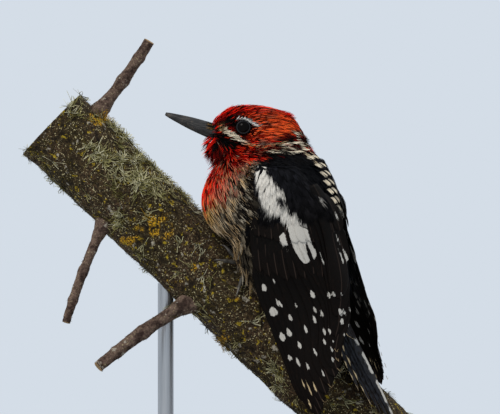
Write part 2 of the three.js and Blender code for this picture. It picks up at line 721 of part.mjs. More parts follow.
const gape = BILL_TIP.clone().addScaledVector(billAxes[2], -0.1);
const gapeCut = { at: gape, normal: billAxes[2].clone().addScaledVector(billAxes[0], 0.02) };
const billOut = billWhole().subtract(headForm(GAP));

put('head', headSolid(), 'red');
put('neck', neckSolid(), 'red');
put('bill_upper', largest(billOut.subtract(aboveCut(gapeCut))), 'bill');
put('bill_lower', largest(billOut.subtract(belowCut(gapeCut))), 'bill');
put('eye_left', ball(EYES.left, EYE_RADIUS), 'eye');
put('eye_right', ball(EYES.right, EYE_RADIUS), 'eye');

for (const side of ['left', 'right']) {
  put(`wing_${side}`, largest(wingSolid(side).subtract(torsoGrown)), 'black');
}
put('tail', largest(tailSolid().subtract(torsoGrown)), 'black');

for (const side of ['left', 'right']) {
  put(`leg_${side}`, footSolid(side), 'foot');
  torso = torso.subtract(footSolid(side, CUT_GAP));
  TOES[side].forEach((_, toe) => {
    put(`claw_${side}_${toe + 1}`, clawSolid(side, toe), 'claw');
    torso = torso.subtract(clawSolid(side, toe, CUT_GAP + 0.1));
  });
}
put('torso', largest(torso), 'mottled');

put('perch_branch', branch, 'bark');
put('stand_base', baseSolid(), 'base', [0, 0, 0]);
ROD_X.forEach((x, i) => put(`stand_rod_${i + 1}`, largest(rodSolid(x)), 'rod', [0, 0, 0]));

export default group;
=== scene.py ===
# %% [markdown]
# # A red-breasted sapsucker on its perch
# The model is a still, life-size museum bird that clings to a cut length of branch. Its
# solids come packed as a fixed frame. This lesson builds what the eye sees around them:
# a skin, a coat of small feathers, wings and tail of long feathers, bill, eyes, feet,
# bark with lichen, and the finishes of the stand.

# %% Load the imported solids
import bmesh
import bpy
import numpy as np
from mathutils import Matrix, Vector

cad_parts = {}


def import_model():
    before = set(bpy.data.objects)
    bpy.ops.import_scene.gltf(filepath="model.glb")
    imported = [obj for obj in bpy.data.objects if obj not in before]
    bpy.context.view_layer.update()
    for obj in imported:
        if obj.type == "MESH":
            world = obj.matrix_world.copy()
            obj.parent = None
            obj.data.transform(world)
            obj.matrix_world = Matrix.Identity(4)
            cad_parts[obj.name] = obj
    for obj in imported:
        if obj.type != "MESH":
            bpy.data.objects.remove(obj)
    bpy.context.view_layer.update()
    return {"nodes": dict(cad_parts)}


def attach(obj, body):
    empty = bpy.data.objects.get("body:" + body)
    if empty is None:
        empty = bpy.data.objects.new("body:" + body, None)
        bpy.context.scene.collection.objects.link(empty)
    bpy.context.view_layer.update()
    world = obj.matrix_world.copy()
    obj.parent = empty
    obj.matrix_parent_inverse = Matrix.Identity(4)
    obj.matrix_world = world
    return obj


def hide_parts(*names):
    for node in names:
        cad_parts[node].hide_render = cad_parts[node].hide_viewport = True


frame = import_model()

nodes = frame["nodes"]
print("solids:", len(nodes))

# %% [markdown]
# ## Where things are
# All shapes are worked out in millimetres in the bird's own frame, whose origin is the
# middle of the body, and go to metres in the world at the end. The trunk has three axes:
# to the bird's left, out of its back, and along the body to the head.

# %% The bird's frame
MM = 0.001
BODY_AT = np.array([20.0, 0.0, 166.0])
BODY_LEAN, BACK_TURN = np.radians([18, 25])


def unit(vectors):
    return vectors / np.maximum(np.linalg.norm(vectors, axis=-1, keepdims=True), 1e-9)


def smooth(low, high, value):
    t = np.clip((value - low) / (high - low), 0, 1)
    return t * t * (3 - 2 * t)


def world(points):
    return (np.asarray(points) + BODY_AT) * MM


AXIS = np.array([-np.sin(BODY_LEAN), 0, np.cos(BODY_LEAN)])
BACK = np.array([
    np.cos(BODY_LEAN) * np.cos(BACK_TURN),
    -np.sin(BACK_TURN),
    np.sin(BODY_LEAN) * np.cos(BACK_TURN),
])
LEFT = np.cross(BACK, AXIS)
TRUNK = np.array([LEFT, BACK, AXIS])


def trunk_point(left, back, along):
    return np.stack(np.broadcast_arrays(left, back, along), -1) @ TRUNK


def pitched(degrees):
    p = np.radians(degrees)
    return np.array([[-np.cos(p), 0, np.sin(p)], [0, -1, 0], [np.sin(p), 0, np.cos(p)]])


# %% [markdown]
# ## The body as one smooth form
# A feathered body is a run of rounded masses that flow into each other. Here each mass is
# an ellipsoid and a smooth minimum of their distances blends them. One function then tells
# how far any point is from the plumage, which places skin and feathers alike.

# %% Masses of the body
LEVEL = pitched(0)
SKULL = pitched(9)
MASSES = [
    ((-7, 0, 34), (21, 13.6, 14.3), SKULL),
    ((-19.5, 0, 36), (9.5, 8, 8), SKULL),
    ((-19, 0, 28.5), (12.5, 9.5, 7.5), LEVEL),
    ((3.3, 0, 31.4), (10.4, 12.3, 12.4), LEVEL),
    ((-1.5, 0, 18.5), (23, 17.5, 14), LEVEL),
    (trunk_point(0, -1.5, 5), (26.5, 33, 25), TRUNK),
    (trunk_point(0, 9, -8), (21, 24, 27), TRUNK),
    (trunk_point(0, 2, -21), (23, 26, 33), TRUNK),
    (trunk_point(0, 12.5, -40), (14.5, 16, 24), TRUNK),
]
BLEND = 5


def depth(points):
    """Distance of points from the plumage's surface in mm, negative inside."""
    total = None
    for centre, radii, axes in MASSES:
        local = (points - np.asarray(centre)) @ axes.T
        near = np.linalg.norm(local / radii, axis=-1)
        far = np.linalg.norm(local / np.square(radii), axis=-1)
        each = near * (near - 1) / np.maximum(far, 1e-9)
        if total is None:
            total = each
            continue
        mix = np.maximum(BLEND - np.abs(total - each), 0) / BLEND
        total = np.minimum(total, each) - mix * mix * BLEND / 4
    return total


TETRA = np.array([[1, -1, -1], [-1, -1, 1], [-1, 1, -1], [1, 1, 1]]) * 1.0


def outward(points):
    """The direction out of the plumage at each point."""
    return unit(sum(depth(points + 0.2 * corner)[..., None] * corner for corner in TETRA))


def settle(points, height, rounds=2):
    """Moves points along the outward direction until they lie at a height."""
    for _ in range(rounds):
        points = points + outward(points) * (height - depth(points))[..., None]
    return points


# %% [markdown]
# ## Small tools
# Natural surfaces need noise that is the same on every run. The usual way is a lattice of
# random numbers with smooth steps between them. Meshes are filled from arrays, which is
# far quicker than adding faces one by one.

# %% Noise, meshes and colours
def grain(points, size, seed=0):
    """Smooth noise between -1 and 1 with cells of about a size."""
    q = np.asarray(points) / size
    base = np.floor(q).astype(np.int64)
    f = q - base
    f = f * f * (3 - 2 * f)
    total = np.zeros(len(q))
    for corner in np.ndindex(2, 2, 2):
        cell = base + corner
        key = cell[:, 0] * 73856093 ^ cell[:, 1] * 19349663 ^ cell[:, 2] * 83492791
        key = (key ^ (seed + 1) * 40503) & 0xFFFFFFFF
        key = ((key ^ (key >> 13)) * 1274126177) & 0xFFFFFFFF
        value = ((key ^ (key >> 16)) & 0xFFFF) / 32767.5 - 1
        total += value * np.prod(np.where(corner, f, 1 - f), axis=1)
    return total


def linear(red, green, blue):
    """A colour given in 0 to 255 as the eye reads it, in linear light."""
    c = np.array([red, green, blue]) / 255
    return np.where(c <= 0.04045, c / 12.92, ((c + 0.055) / 1.055) ** 2.4)


def add_object(name, data):
    made = bpy.data.objects.new(name, data)
    bpy.context.collection.objects.link(made)
    return made


def make_mesh(name, points, faces, smooth_faces=True):
    """A mesh object from points in the bird's frame and lists of equal-sized faces."""
    mesh = bpy.data.meshes.new(name)
    mesh.from_pydata(world(points).tolist(), [], [list(f) for f in faces])
    mesh.update()
    mesh.shade_smooth() if smooth_faces else mesh.shade_flat()
    return add_object(name, mesh)


def evaluated(piece):
    """What a piece's modifiers make of it, as a plain mesh."""
    ready = piece.evaluated_get(bpy.context.evaluated_depsgraph_get())
    return bpy.data.meshes.new_from_object(ready)


def pairs(first, second):
    """Each value of first with every value of second, as two lists."""
    return np.repeat(first, len(second)), np.tile(second, len(first))


def around(count):
    """Angles once round."""
    return np.linspace(0, 2 * np.pi, count, endpoint=False)


def quads_of(rows, columns, wrap=False):
    """Faces of a grid of rows by columns of points, closed round each row if wrapped."""
    r = np.arange(rows - 1)[:, None] * columns
    c = np.arange(columns if wrap else columns - 1)[None, :]
    after = (c + 1) % columns
    quads = [r + c, r + after, r + columns + after, r + columns + c]
    return np.stack(np.broadcast_arrays(*quads), -1).reshape(-1, 4)


def store(piece, **named):
    """Keeps values for each vertex: numbers, vectors, or colours if they are a tint."""
    attributes = piece.data.attributes
    for name, values in named.items():
        if name in attributes:
            attributes.remove(attributes[name])
        values = np.asarray(values, dtype=np.float32)
        kind, field = ("FLOAT", "value") if values.ndim == 1 else ("FLOAT_VECTOR", "vector")
        if name == "tint":
            kind, field = "FLOAT_COLOR", "color"
            values = np.concatenate([values, np.ones((len(values), 1), np.float32)], 1)
        attributes.new(name, kind, "POINT").data.foreach_set(field, values.ravel())


def stored(mesh, name, width=1):
    layer = mesh.attributes[name]
    values = np.empty(len(layer.data) * width, np.float32)
    layer.data.foreach_get("value" if width == 1 else "vector", values)
    return values if width == 1 else values.reshape(-1, width)


def places(mesh):
    values = np.empty(len(mesh.vertices) * 3, np.float32)
    mesh.vertices.foreach_get("co", values)
    return values.reshape(-1, 3) / MM - BODY_AT


def move_to(mesh, points):
    mesh.vertices.foreach_set("co", world(points).astype(np.float32).ravel())
    mesh.update()


# %% [markdown]
# ## Node graphs as Python
# Materials and scattering are both node graphs. Linking sockets by hand hides the maths,
# so one small class wraps an output socket and lets ordinary operators add Math nodes.

# %% A wrapper for node graphs
def operator(operation, reflected=False):
    """A Python operator that adds a Math node. Reflected, a plain number stands first."""
    def apply(self, other):
        terms = (other, self) if reflected else (self, other)
        return self._math(operation, *terms)
    return apply


class Value:
    """An output socket whose operators add Math nodes."""

    __add__, __radd__ = operator("ADD"), operator("ADD", reflected=True)
    __sub__, __rsub__ = operator("SUBTRACT"), operator("SUBTRACT", reflected=True)
    __mul__, __rmul__ = operator("MULTIPLY"), operator("MULTIPLY", reflected=True)

    def __init__(self, graph, socket):
        self.graph, self.socket = graph, socket

    def _math(self, operation, *terms):
        return self.graph.node("ShaderNodeMath", {"operation": operation},
                               dict(enumerate(terms)))["Value"]

    def sine(self):
        return self._math("SINE", self)

    def size(self):
        return self._math("ABSOLUTE", self)

    def between(self, low, high):
        """0 below low, 1 above high and smooth between."""
        return self.graph.node(
            "ShaderNodeMapRange", {"interpolation_type": "SMOOTHSTEP"},
            {"Value": self, "From Min": low, "From Max": high})["Result"]


class Node:
    def __init__(self, graph, node):
        self.graph, self.node = graph, node

    def __getitem__(self, key):
        return Value(self.graph, self.node.outputs[key])


class Graph:
    def __init__(self, tree):
        self.tree = tree

    def node(self, kind, settings=None, inputs=None):
        """A node of a kind, with its settings made first and then its inputs."""
        node = self.tree.nodes.new(kind)
        for key, value in (settings or {}).items():
            setattr(node, key, value)
        self.feed(node, inputs or {})
        return Node(self, node)

    def feed(self, node, inputs):
        """Links sockets to a node's inputs, and sets plain values on them."""
        for key, value in inputs.items():
            if isinstance(value, Value):
                self.tree.links.new(value.socket, node.inputs[key])
            else:
                node.inputs[key].default_value = value

    def mix(self, factor, first, second):
        """A blend of two colours, each a socket or plain numbers from 0 to 255."""
        plain = lambda c: c if isinstance(c, Value) else (*linear(*c), 1.0)
        return self.node("ShaderNodeMix", {"data_type": "RGBA"},
                         {0: factor, 6: plain(first), 7: plain(second)})[2]

    def noise(self, scale, detail=3.0, vector=None, roughness=0.55):
        return self.node("ShaderNodeTexNoise", None, {
            "Scale": scale, "Detail": detail, "Roughness": roughness,
            "Vector": vector or self.place})["Fac"]

    def streaks(self, vector, scale, detail=2.0):
        """Noise that is drawn out along the axes whose scale is small."""
        mapped = self.node("ShaderNodeMapping", None, {"Vector": vector, "Scale": scale})
        return self.noise(1.0, detail, mapped["Vector"])

    def attribute(self, name, output="Fac"):
        return self.node("ShaderNodeAttribute", {"attribute_name": name})[output]


def finish(name, paint, **fixed):
    """A material. paint(graph) returns what varies; fixed sets plain values of the shader."""
    material = bpy.data.materials.new(name)
    material.use_nodes = True
    graph = Graph(material.node_tree)
    shader = material.node_tree.nodes["Principled BSDF"]
    graph.place = graph.node("ShaderNodeTexCoord")["Object"]
    graph.feed(shader, {key.replace("_", " "): value for key, value in fixed.items()})
    varied = paint(graph)
    bump = varied.pop("Bump", None)
    if bump:
        height, strength, distance = bump
        varied["Normal"] = graph.node(
            "ShaderNodeBump", None,
            {"Height": height, "Strength": strength, "Distance": distance})["Normal"]
    graph.feed(shader, varied)
    return material


def dress(piece, material, slot, *replaced):
    """Gives a piece its material and body, and hides the solids it stands for. The slot is not
    used.
    """
    piece.data.materials.clear()
    piece.data.materials.append(material)
    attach(piece, "root")
    if replaced:
        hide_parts(*replaced)
    print(piece.name, len(piece.data.polygons), "faces")


# %% [markdown]
# ## The wing's sheet
# Folded wings lie on the body and touch it, so their shape comes before the coat's. Each
# wing is a curved sheet between its leading edge and its inner edge. Tracks give both edges
# between a few stations along the body, and the sheet is pushed off the body where it
# would sink in.

# %% The wing's sheet
def track(rows):
    """A smooth curve through rows of (place, values...)."""
    rows = np.array(rows, float)
    at, values = rows[:, 0], rows[:, 1:]
    inner = (values[2:] - values[:-2]) / (at[2:] - at[:-2])[:, None]
    first = (values[1] - values[0]) / (at[1] - at[0])
    last = (values[-1] - values[-2]) / (at[-1] - at[-2])
    slopes = np.vstack([first, inner, last])

    def read(t):
        i = np.clip(np.searchsorted(at, t) - 1, 0, len(at) - 2)
        span = at[i + 1] - at[i]
        f = np.clip((t - at[i]) / span, 0, 1)[:, None]
        span = span[:, None]
        return ((2 * f**3 - 3 * f**2 + 1) * values[i] + (f**3 - 2 * f**2 + f) * span * slopes[i]
                + (3 * f**2 - 2 * f**3) * values[i + 1] + (f**3 - f**2) * span * slopes[i + 1])
    return read


# Stations: place along the body, then how far to the back and to the left.
WING_EDGES = {
    "left": (
        track([[-112, -7, 17], [-105, -7.7, 17], [-94, -9.2, 17.2], [-80, -8.8, 17.4],
               [-61, -10.3, 19.5], [-38, -11.2, 23.3], [-15, -4.5, 25], [3, 3, 25.5],
               [24, 9, 22]]),
        track([[-112, 15, 12.5], [-94, 15, 13.5], [-80, 15.8, 13], [-65, 23, 7.5],
               [-50, 28, 3.5], [-30, 32, 2.5], [-10, 33, 4], [10, 27, 7], [24, 19, 9]])),
    "right": (
        track([[-106, 12.5, -22], [-95, 12, -23], [-80, 8.5, -25], [-61, 3.5, -26.5],
               [-40, -1, -27.5], [-15, -3, -27.5], [3, 2, -27], [24, 8, -24]]),
        track([[-106, 21, -19], [-84, 22.3, -18], [-70, 26.8, -13], [-50, 30, -6],
               [-30, 32.5, -3], [-10, 33, -4], [10, 27, -7], [24, 19, -9]])),
}
WING_CLEAR = 1.0
WING_BULGE = 4
WING_TILT = 0.19


def wing_sheet(side, s, q, h):
    """A point of the wing at s along the body, q from leading to inner edge and h above."""
    lead, inner = (edge(s) for edge in WING_EDGES[side])
    sign = 1 if side == "left" else -1
    chord = (inner - lead)[:, ::-1]
    out = unit(np.stack([chord[:, 1] * sign, -chord[:, 0] * sign], 1))
    bulge = WING_BULGE * np.sin(np.pi * np.clip(q, 0, 1))
    flat = lead[:, ::-1] + chord * q[:, None] + out * bulge[:, None]
    point = trunk_point(flat[:, 0], flat[:, 1], s)
    away = trunk_point(out[:, 0], out[:, 1], 0)
    short = WING_CLEAR - depth(point)
    push = (short + np.hypot(short, 2)) / 2
    share = (1 / (1 + push))[:, None]
    normal = unit(outward(point) * (1 - share) + away * share)
    return point + normal * (push + h)[:, None]


# %% [markdown]
# ## The markings
# Skin and coat have to show the same pattern, so the pattern is a function of a place on
# the bird. A bird is alike on both sides: each place is folded over to the left side and
# read on a side chart, in half millimetres to the right and down. The head folds across
# its own middle plane and the turned trunk across its own.

# %% The side chart
CHART_MIDDLE = (271, 203)


def on_chart(points):
    """Chart coordinates of points, half a millimetre to a unit."""
    return CHART_MIDDLE[0] + 2 * points[:, 0], CHART_MIDDLE[1] - 2 * points[:, 2]


def chart(points):
    """Chart coordinates of points, alike for the bird's two sides."""
    local = points @ TRUNK.T
    folded = np.stack([np.abs(local[:, 0]), local[:, 1], local[:, 2]], 1) @ TRUNK
    head = smooth(8, 24, points[:, 2])[:, None]
    return on_chart(points * head + folded * (1 - head))


def near_line(u, v, line):
    """Distance from a line of chart points."""
    line = np.array(line, float)
    best = np.full(len(u), 1e9)
    for (x0, y0), (x1, y1) in zip(line[:-1], line[1:]):
        dx, dy = x1 - x0, y1 - y0
        t = np.clip(((u - x0) * dx + (v - y0) * dy) / (dx * dx + dy * dy), 0, 1)
        best = np.minimum(best, np.hypot(u - x0 - t * dx, v - y0 - t * dy))
    return best


def oval(u, v, at, radii):
    """1 in the middle of an oval, 0 on its rim and less outside."""
    return 1 - np.hypot((u - at[0]) / radii[0], (v - at[1]) / radii[1])


def ovals(u, v, rows):
    return np.maximum.reduce([oval(u, v, at, radii) for at, radii in rows])


def inside(u, v, outline):
    """Distance into a closed outline, negative outside it."""
    outline = np.array(outline, float)
    ring = np.vstack([outline, outline[:1]])
    within = np.zeros(len(u), bool)
    for (x0, y0), (x1, y1) in zip(ring[:-1], ring[1:]):
        crosses = (y0 > v) != (y1 > v)
        slope = (x1 - x0) / (y1 - y0 if y1 != y0 else 1e-9)
        within ^= crosses & (u < x0 + (v - y0) * slope)
    return np.where(within, 1, -1) * near_line(u, v, ring)


# %% [markdown]
# Real feathers differ from each other and change colour towards the tip, which is what
# makes plumage look streaked and not painted. So the colour depends on the place, on the
# feather, and on how far along the feather a point is.

# %% Colours of the head
RED = linear(252, 28, 12)
ORANGE = linear(250, 104, 46)
DEEP = linear(118, 8, 6)
BLACK = linear(14, 12, 12)
SOOT = linear(34, 28, 24)
CREAM = linear(240, 226, 200)
CHALK = linear(232, 230, 224)
GOLD = linear(220, 172, 96)
SALMON = linear(228, 126, 96)
BUFF = linear(200, 170, 126)
EYE_CHART = (243.5, 127.5)
CHEEK_STRIPE = [(219, 128.5), (225, 131.5), (232, 134.5), (238, 138.5), (245, 143), (255, 147),
                (265, 148.5), (275, 146), (282, 144.5)]
EYEBROW = [(238.5, 119.5), (245, 119.3), (249, 121), (254, 124), (258, 126.5)]
DARK_OF_HEAD = [((231, 124), (10, 4.5)), (EYE_CHART, (10.5, 8.8)), ((217, 137), (12, 4.5)),
                ((287, 140), (12, 5)), ((284, 155), (30, 5)), ((304, 139), (5, 11)),
                ((297, 147), (8, 5)), ((230, 143), (12, 4))]
PALE_OF_HEAD = [((289, 148.5), (8, 3.2)), ((276, 152.8), (9, 2.8)), ((299, 137), (4.5, 9)),
                ((303, 147), (4, 5))]
BILL_ROOT = np.array([-35.0, 0, 33.5])


def flow(points):
    """Places drawn together along the lie, so that noise read at them makes streaks."""
    from_bill = points - BILL_ROOT
    reach = np.linalg.norm(from_bill, axis=1, keepdims=True)
    on_head = from_bill / reach * 26 + 0.15 * reach + 100
    waver = 1.8 * grain(points, 6, 85)[:, None] * [1, 1, 0]
    on_trunk = (points @ TRUNK.T + waver) * [1, 1, 0.16]
    return np.where(points[:, 2:] + 0.2 * points[:, :1] > 16, on_head, on_trunk)


def blend(colour, other, share):
    return colour + (other - colour) * np.clip(share, 0, 1)[:, None]


def pick(number, salt):
    """Another number from 0 to 1 that belongs to the same feather."""
    return number * salt % 1


def barb_number(number, strand):
    """A number from 0 to 1 that belongs to one barb of one feather."""
    return (number * 7.3 + strand * 5.1) % 1


def layer_of(number):
    """How high a feather lies among its neighbours, from 0 to 1."""
    return pick(number, 13)


def inked(limit, streak, hair, loose=0.12):
    """Share of black where the streaks pass a limit. Single barbs loosen its border."""
    return smooth(limit - 0.08, limit + 0.08, streak + loose * (hair - 0.5))


def head_colour(root, u, v, number, strand, tip):
    count = np.ones((len(u), 1))
    streak = grain(flow(root), 0.95, 81)
    bright = grain(flow(root), 0.85, 82)
    hair = barb_number(number, strand)
    jitter_u = u + 2.4 * (number - 0.5) + 1.2 * (strand - 0.5) + 3 * streak
    jitter_v = v + 1.4 * (pick(number, 7) - 0.5) + 0.8 * (pick(strand, 3) - 0.5)
    hue = pick(number, 11)
    cheek = smooth(-0.3, 0.5, oval(u, v, (270, 126), (34, 15)))
    forehead = smooth(0, 0.4, oval(u, v, (228, 114), (17, 10)))
    throat = smooth(0, 0.4, oval(u, v, (226, 152), (32, 22)))
    crimson = RED * (0.8 + 1.3 * bright + 0.3 * (hair - 0.5)).clip(0.1, 1.05)[:, None]
    crimson = blend(crimson, ORANGE, cheek * (0.2 + 0.6 * (bright + 0.6 * hair > 0.35))
                    + 0.4 * (hue > 0.88))
    edge = 0.36 - 0.2 * forehead - 0.34 * throat + 0.1 * cheek
    inky = inked(edge, streak, hair, 0.14)
    colour = blend(crimson, BLACK, np.maximum(0.94 * inky, 0.7 * smooth(0.2, 0.05, tip)))
    white_tip = throat * (pick(number, 47) < 0.14) * (hair < 0.3) * smooth(0.75, 0.95, tip)
    colour = blend(colour, CREAM, white_tip)
    dark = smooth(-0.14, 0.14, ovals(jitter_u, jitter_v, DARK_OF_HEAD) + 0.4 * bright)
    colour = blend(colour, blend(BLACK * count, DEEP, 0.6 * (hue < 0.2)), dark)
    gap = near_line(jitter_u - 3 * streak, jitter_v, CHEEK_STRIPE)
    stripe = smooth(2.4, 1.4, gap + smooth(240, 262, u) * 0.9) * (0.5 * streak + hair < 0.86)
    warm = smooth(236, 248, u) * smooth(268, 256, u)
    pale = blend(GOLD * count, CREAM, smooth(217, 229, u))
    pale = blend(pale, ORANGE, warm * (pick(number, 31) < 0.5))
    pale = pale * (0.7 + 0.5 * hair)[:, None]
    colour = blend(colour, pale, stripe * smooth(0.1, 0.4, tip))
    spots = ovals(jitter_u, jitter_v, PALE_OF_HEAD) + 0.6 * streak - 0.5
    colour = blend(colour, pale, smooth(-0.05, 0.15, spots) * smooth(0.1, 0.4, tip)
                   * (hair < 0.7))
    brow = near_line(u + 0.5 * (number - 0.5), v + 0.5 * (strand - 0.5), EYEBROW)
    return blend(colour, CHALK, smooth(1.0, 0.6, brow))


# %% Colours of the trunk
BIB_EDGE = [(150, 262), (160, 241), (172, 229), (188, 220), (204, 209), (214, 203)]
BAR_COLUMNS = (1.6, -3.9)
BAR_STEP = 4.6


def bib_depth(u, v):
    return np.interp(v, *np.array(BIB_EDGE).T) - u


def before_wing(local, ahead=3.5, reach=8.0):
    """1 just in front of a folded wing's leading edge, falling to 0 around it."""
    near = np.zeros(len(local))
    for side, sign in (("left", 1), ("right", -1)):
        lead = WING_EDGES[side][0](local[:, 2])
        gap = lead[:, 0] - local[:, 1]
        here = np.clip(1 - np.abs(gap - ahead) / reach, 0, 1) * (local[:, 0] * sign > 8)
        near = np.maximum(near, here)
    return near * smooth(-78, -62, local[:, 2]) * smooth(27, 17, local[:, 2])


def trunk_colour(points, root, u, v, number, strand, tip):
    count = np.ones((len(u), 1))
    local = root @ TRUNK.T
    hue = pick(number, 11)
    streak, bright = grain(flow(root), 0.9, 83), grain(flow(root), 1.3, 84)
    hair = barb_number(number, strand)
    shade = (1.0 + 0.35 * (hair - 0.5) + 0.5 * bright).clip(0.25, 1.15)
    low = smooth(215, 265, v)

    # Cream with dark streaks, more buff and darker down the belly.
    body = blend(CREAM * 0.98 * count, BUFF, 0.35 + 0.5 * (hue > 0.5) + 0.15 * low)
    body = body * (shade * (1 - 0.1 * low))[:, None]
    body = blend(body, SOOT * 0.4, 0.95 * inked(0.06 - 0.08 * low, streak, hair))
    # Just in front of each folded wing the body turns dark: painted shade where the body meets
    # the wing's edge.
    by_wing = before_wing(points @ TRUNK.T, 0.5, 6.0) + 0.25 * (hair - 0.5)
    body = blend(body, SOOT * 0.4, 0.95 * smooth(0.3, 0.5, by_wing))

    # The red bib and its salmon and golden rim.
    into = bib_depth(u + 3 * (number - 0.5) + 13 * bright, v + 2 * (strand - 0.5))
    rim = smooth(-18, -2, into) * smooth(214, 198, v)
    body = blend(body, SALMON * 0.9, rim * (0.75 * (hue < 0.6) + 0.25) * smooth(0.2, 0.5, tip))
    golden = smooth(-18, -2, into) * smooth(194, 204, v) * smooth(228, 214, v)
    body = blend(body, GOLD * 0.8, golden * (hue > 0.35) * smooth(0.2, 0.5, tip) * 0.8)
    body = blend(body, GOLD * 0.9, smooth(-26, -6, into) * smooth(186, 168, v) * (hue > 0.62)
                 * smooth(0.3, 0.5, tip) * 0.7)
    red = RED * (0.9 + 0.15 * pick(number, 5) - 0.5 * streak
                 + 0.3 * (hair - 0.5))[:, None].clip(0.15, 1.05)
    red = blend(red, ORANGE, 0.7 * (hue > 0.8))
    upper = smooth(186, 158, v)
    inky = inked(0.45 - 0.5 * upper, streak, hair)
    red = blend(red, BLACK, np.maximum(0.92 * inky, 0.7 * smooth(0.2, 0.05, tip)))
    red = blend(red, CREAM, (pick(number, 47) < 0.14) * upper * smooth(0.8, 0.95, tip))
    body = blend(body, red, smooth(-2, 3, into) * smooth(221, 211, v))

    # Back: black, with two columns of cream-tipped feathers along the middle.
    row = local[:, 2] / BAR_STEP + 0.25 * pick(number, 53)
    in_row = (row % 1) < 0.6
    column = np.minimum(*(np.abs(local[:, 0] - at) for at in BAR_COLUMNS))
    barred = in_row & (column < 1.1 + 0.5 * pick(number, 13)) & (tip > 0.5) & (bright < 0.2)
    sheen = linear(34, 36, 42) * (0.2 + 0.8 * pick(number, 5))[:, None]
    back = blend(sheen, CREAM * 1.05, barred)
    rear = smooth(8.5, 12.5, local[:, 1] - 0.12 * np.maximum(-20 - local[:, 2], 0)
                  + 2 * (number - 0.5))
    rear = np.maximum(rear, smooth(254, 262, u + 4 * streak) * smooth(176, 168, v))
    return blend(body, back, rear)


def plumage(points, root, number, strand, tip):
    """Colour at points of the plumage. root is where the feather grows, number and strand
    tell one feather and one barb from the others, and tip runs from 0 at the root to 1."""
    u, v = chart(points)
    head = head_colour(root, u, v, number, strand, tip)
    body = trunk_colour(points, root, u, v, number, strand, tip)
    border = 18 + 0.2 * (root[:, 0] + 25) + 2.4 * (number - 0.5)
    return blend(body, head, smooth(-0.8, 0.8, root[:, 2] - border))


# %% [markdown]
# ## The skin
# The coat stands on a skin just under the plumage's outer form. It could be modelled by
# hand, but the form is already a function: three balls are blown up inside head, neck and
# trunk until they meet it, a voxel remesh fuses them into one closed surface, and every
# vertex is then drawn exactly to its depth.

# %% Grow the skin
COAT_DEPTH = 1.5


def blown_ball(centre, axes):
    """Points and faces of a ball whose every vertex has moved out to the skin."""
    ball = bpy.data.meshes.new("ball")
    made = bmesh.new()
    bmesh.ops.create_icosphere(made, subdivisions=5, radius=1)
    made.to_mesh(ball)
    made.free()
    faces = np.array([p.vertices[:] for p in ball.polygons])
    rays = np.array([v.co[:] for v in ball.vertices])
    bpy.data.meshes.remove(ball)
    rays = unit(rays @ axes)
    low, high = np.zeros(len(rays)), np.full(len(rays), 130.0)
    for _ in range(26):
        middle = (low + high) / 2
        within = depth(centre + rays * middle[:, None]) < -COAT_DEPTH
        low, high = np.where(within, middle, low), np.where(within, high, middle)
    return centre + rays * low[:, None], faces


def gather(parts):
    """One list of points and faces from several."""
    points, faces, start = [], [], 0
    for some_points, some_faces in parts:
        points.append(some_points)
        faces += [[int(i) + start for i in f] for f in some_faces]
        start += len(some_points)
    return np.vstack(points), faces


stretch = TRUNK * np.array([[1], [1], [1.5]])
skin = make_mesh("skin", *gather([
    blown_ball(np.array([-8.0, 0, 33]), np.eye(3)),
    blown_ball(np.array([-3.0, 0, 19]), np.eye(3)),
    blown_ball(trunk_point(0, 2, -12), stretch),
]))
remesh = skin.modifiers.new("fuse", "REMESH")
remesh.mode = "VOXEL"
remesh.voxel_size = 1.0 * MM
fused = evaluated(skin)
skin.modifiers.clear()
skin.data = fused
skin.data.shade_smooth()
skin_points = settle(places(fused), -COAT_DEPTH, rounds=3)
move_to(fused, skin_points)
print("skin faces:", len(fused.polygons))

# %% [markdown]
# The branch passes close under the belly, and feathers part round the eyes. Both need
# simple distances: from the branch's middle line, and from an eye.

# %% The branch's line and the eyes
BRANCH_RADIUS = 21.0
BARK_GAP = 0.9
BRANCH_AT = np.array([-40.5, 25, -27.5])
SLOPE = np.radians(44)
ALONG = np.array([np.cos(SLOPE), 0, -np.sin(SLOPE)])
ABOVE = np.array([np.sin(SLOPE), 0, np.cos(SLOPE)])
NEAR = np.array([0, -1.0, 0])
EYE_RADIUS = 3.9
EYE_SUNK = 2.2
EYE_LEVEL = np.array([-13.75, 0, 37.75])


def branch_point(along, degrees, out):
    angle = np.radians(degrees)
    return (BRANCH_AT + np.multiply.outer(along, ALONG)
            + np.multiply.outer(np.cos(angle) * out, ABOVE)
            + np.multiply.outer(np.sin(angle) * out, NEAR))


def branch_ray(points):
    """The direction away from the branch's middle line, and the distance from it."""
    local = points - BRANCH_AT
    flat = local - np.outer(local @ ALONG, ALONG)
    return unit(flat), np.linalg.norm(flat, axis=1)


def off_branch(points):
    """Moves points that lie in the branch out to just above its bark."""
    ray, out = branch_ray(points)
    return points + ray * np.maximum(BRANCH_RADIUS + BARK_GAP - out, 0)[:, None]


def eye_centre(side):
    high = 0.0
    for step in (1.0, 0.1, 0.01):
        while depth(EYE_LEVEL[None] + [[0, high + step, 0]])[0] < 0:
            high += step
    return EYE_LEVEL + [0, side * (high - EYE_SUNK), 0]


EYES = {"left": eye_centre(-1), "right": eye_centre(1)}
print("eyes at", {k: v.round(2).tolist() for k, v in EYES.items()})

# %% [markdown]
# ## How the coat lies
# Feathers point away from the bill over the head, down the neck, and down and outwards
# over the trunk. Size, lift and density change from the fine feathers of the face to the
# long loose ones of the belly. In front of each folded wing the flank feathers are long
# and lie over the wing's edge. All of this is kept on the skin as attributes.

# %% Lie, size and lift of the small feathers
HANG = np.array([-0.35, 0, -1.0])


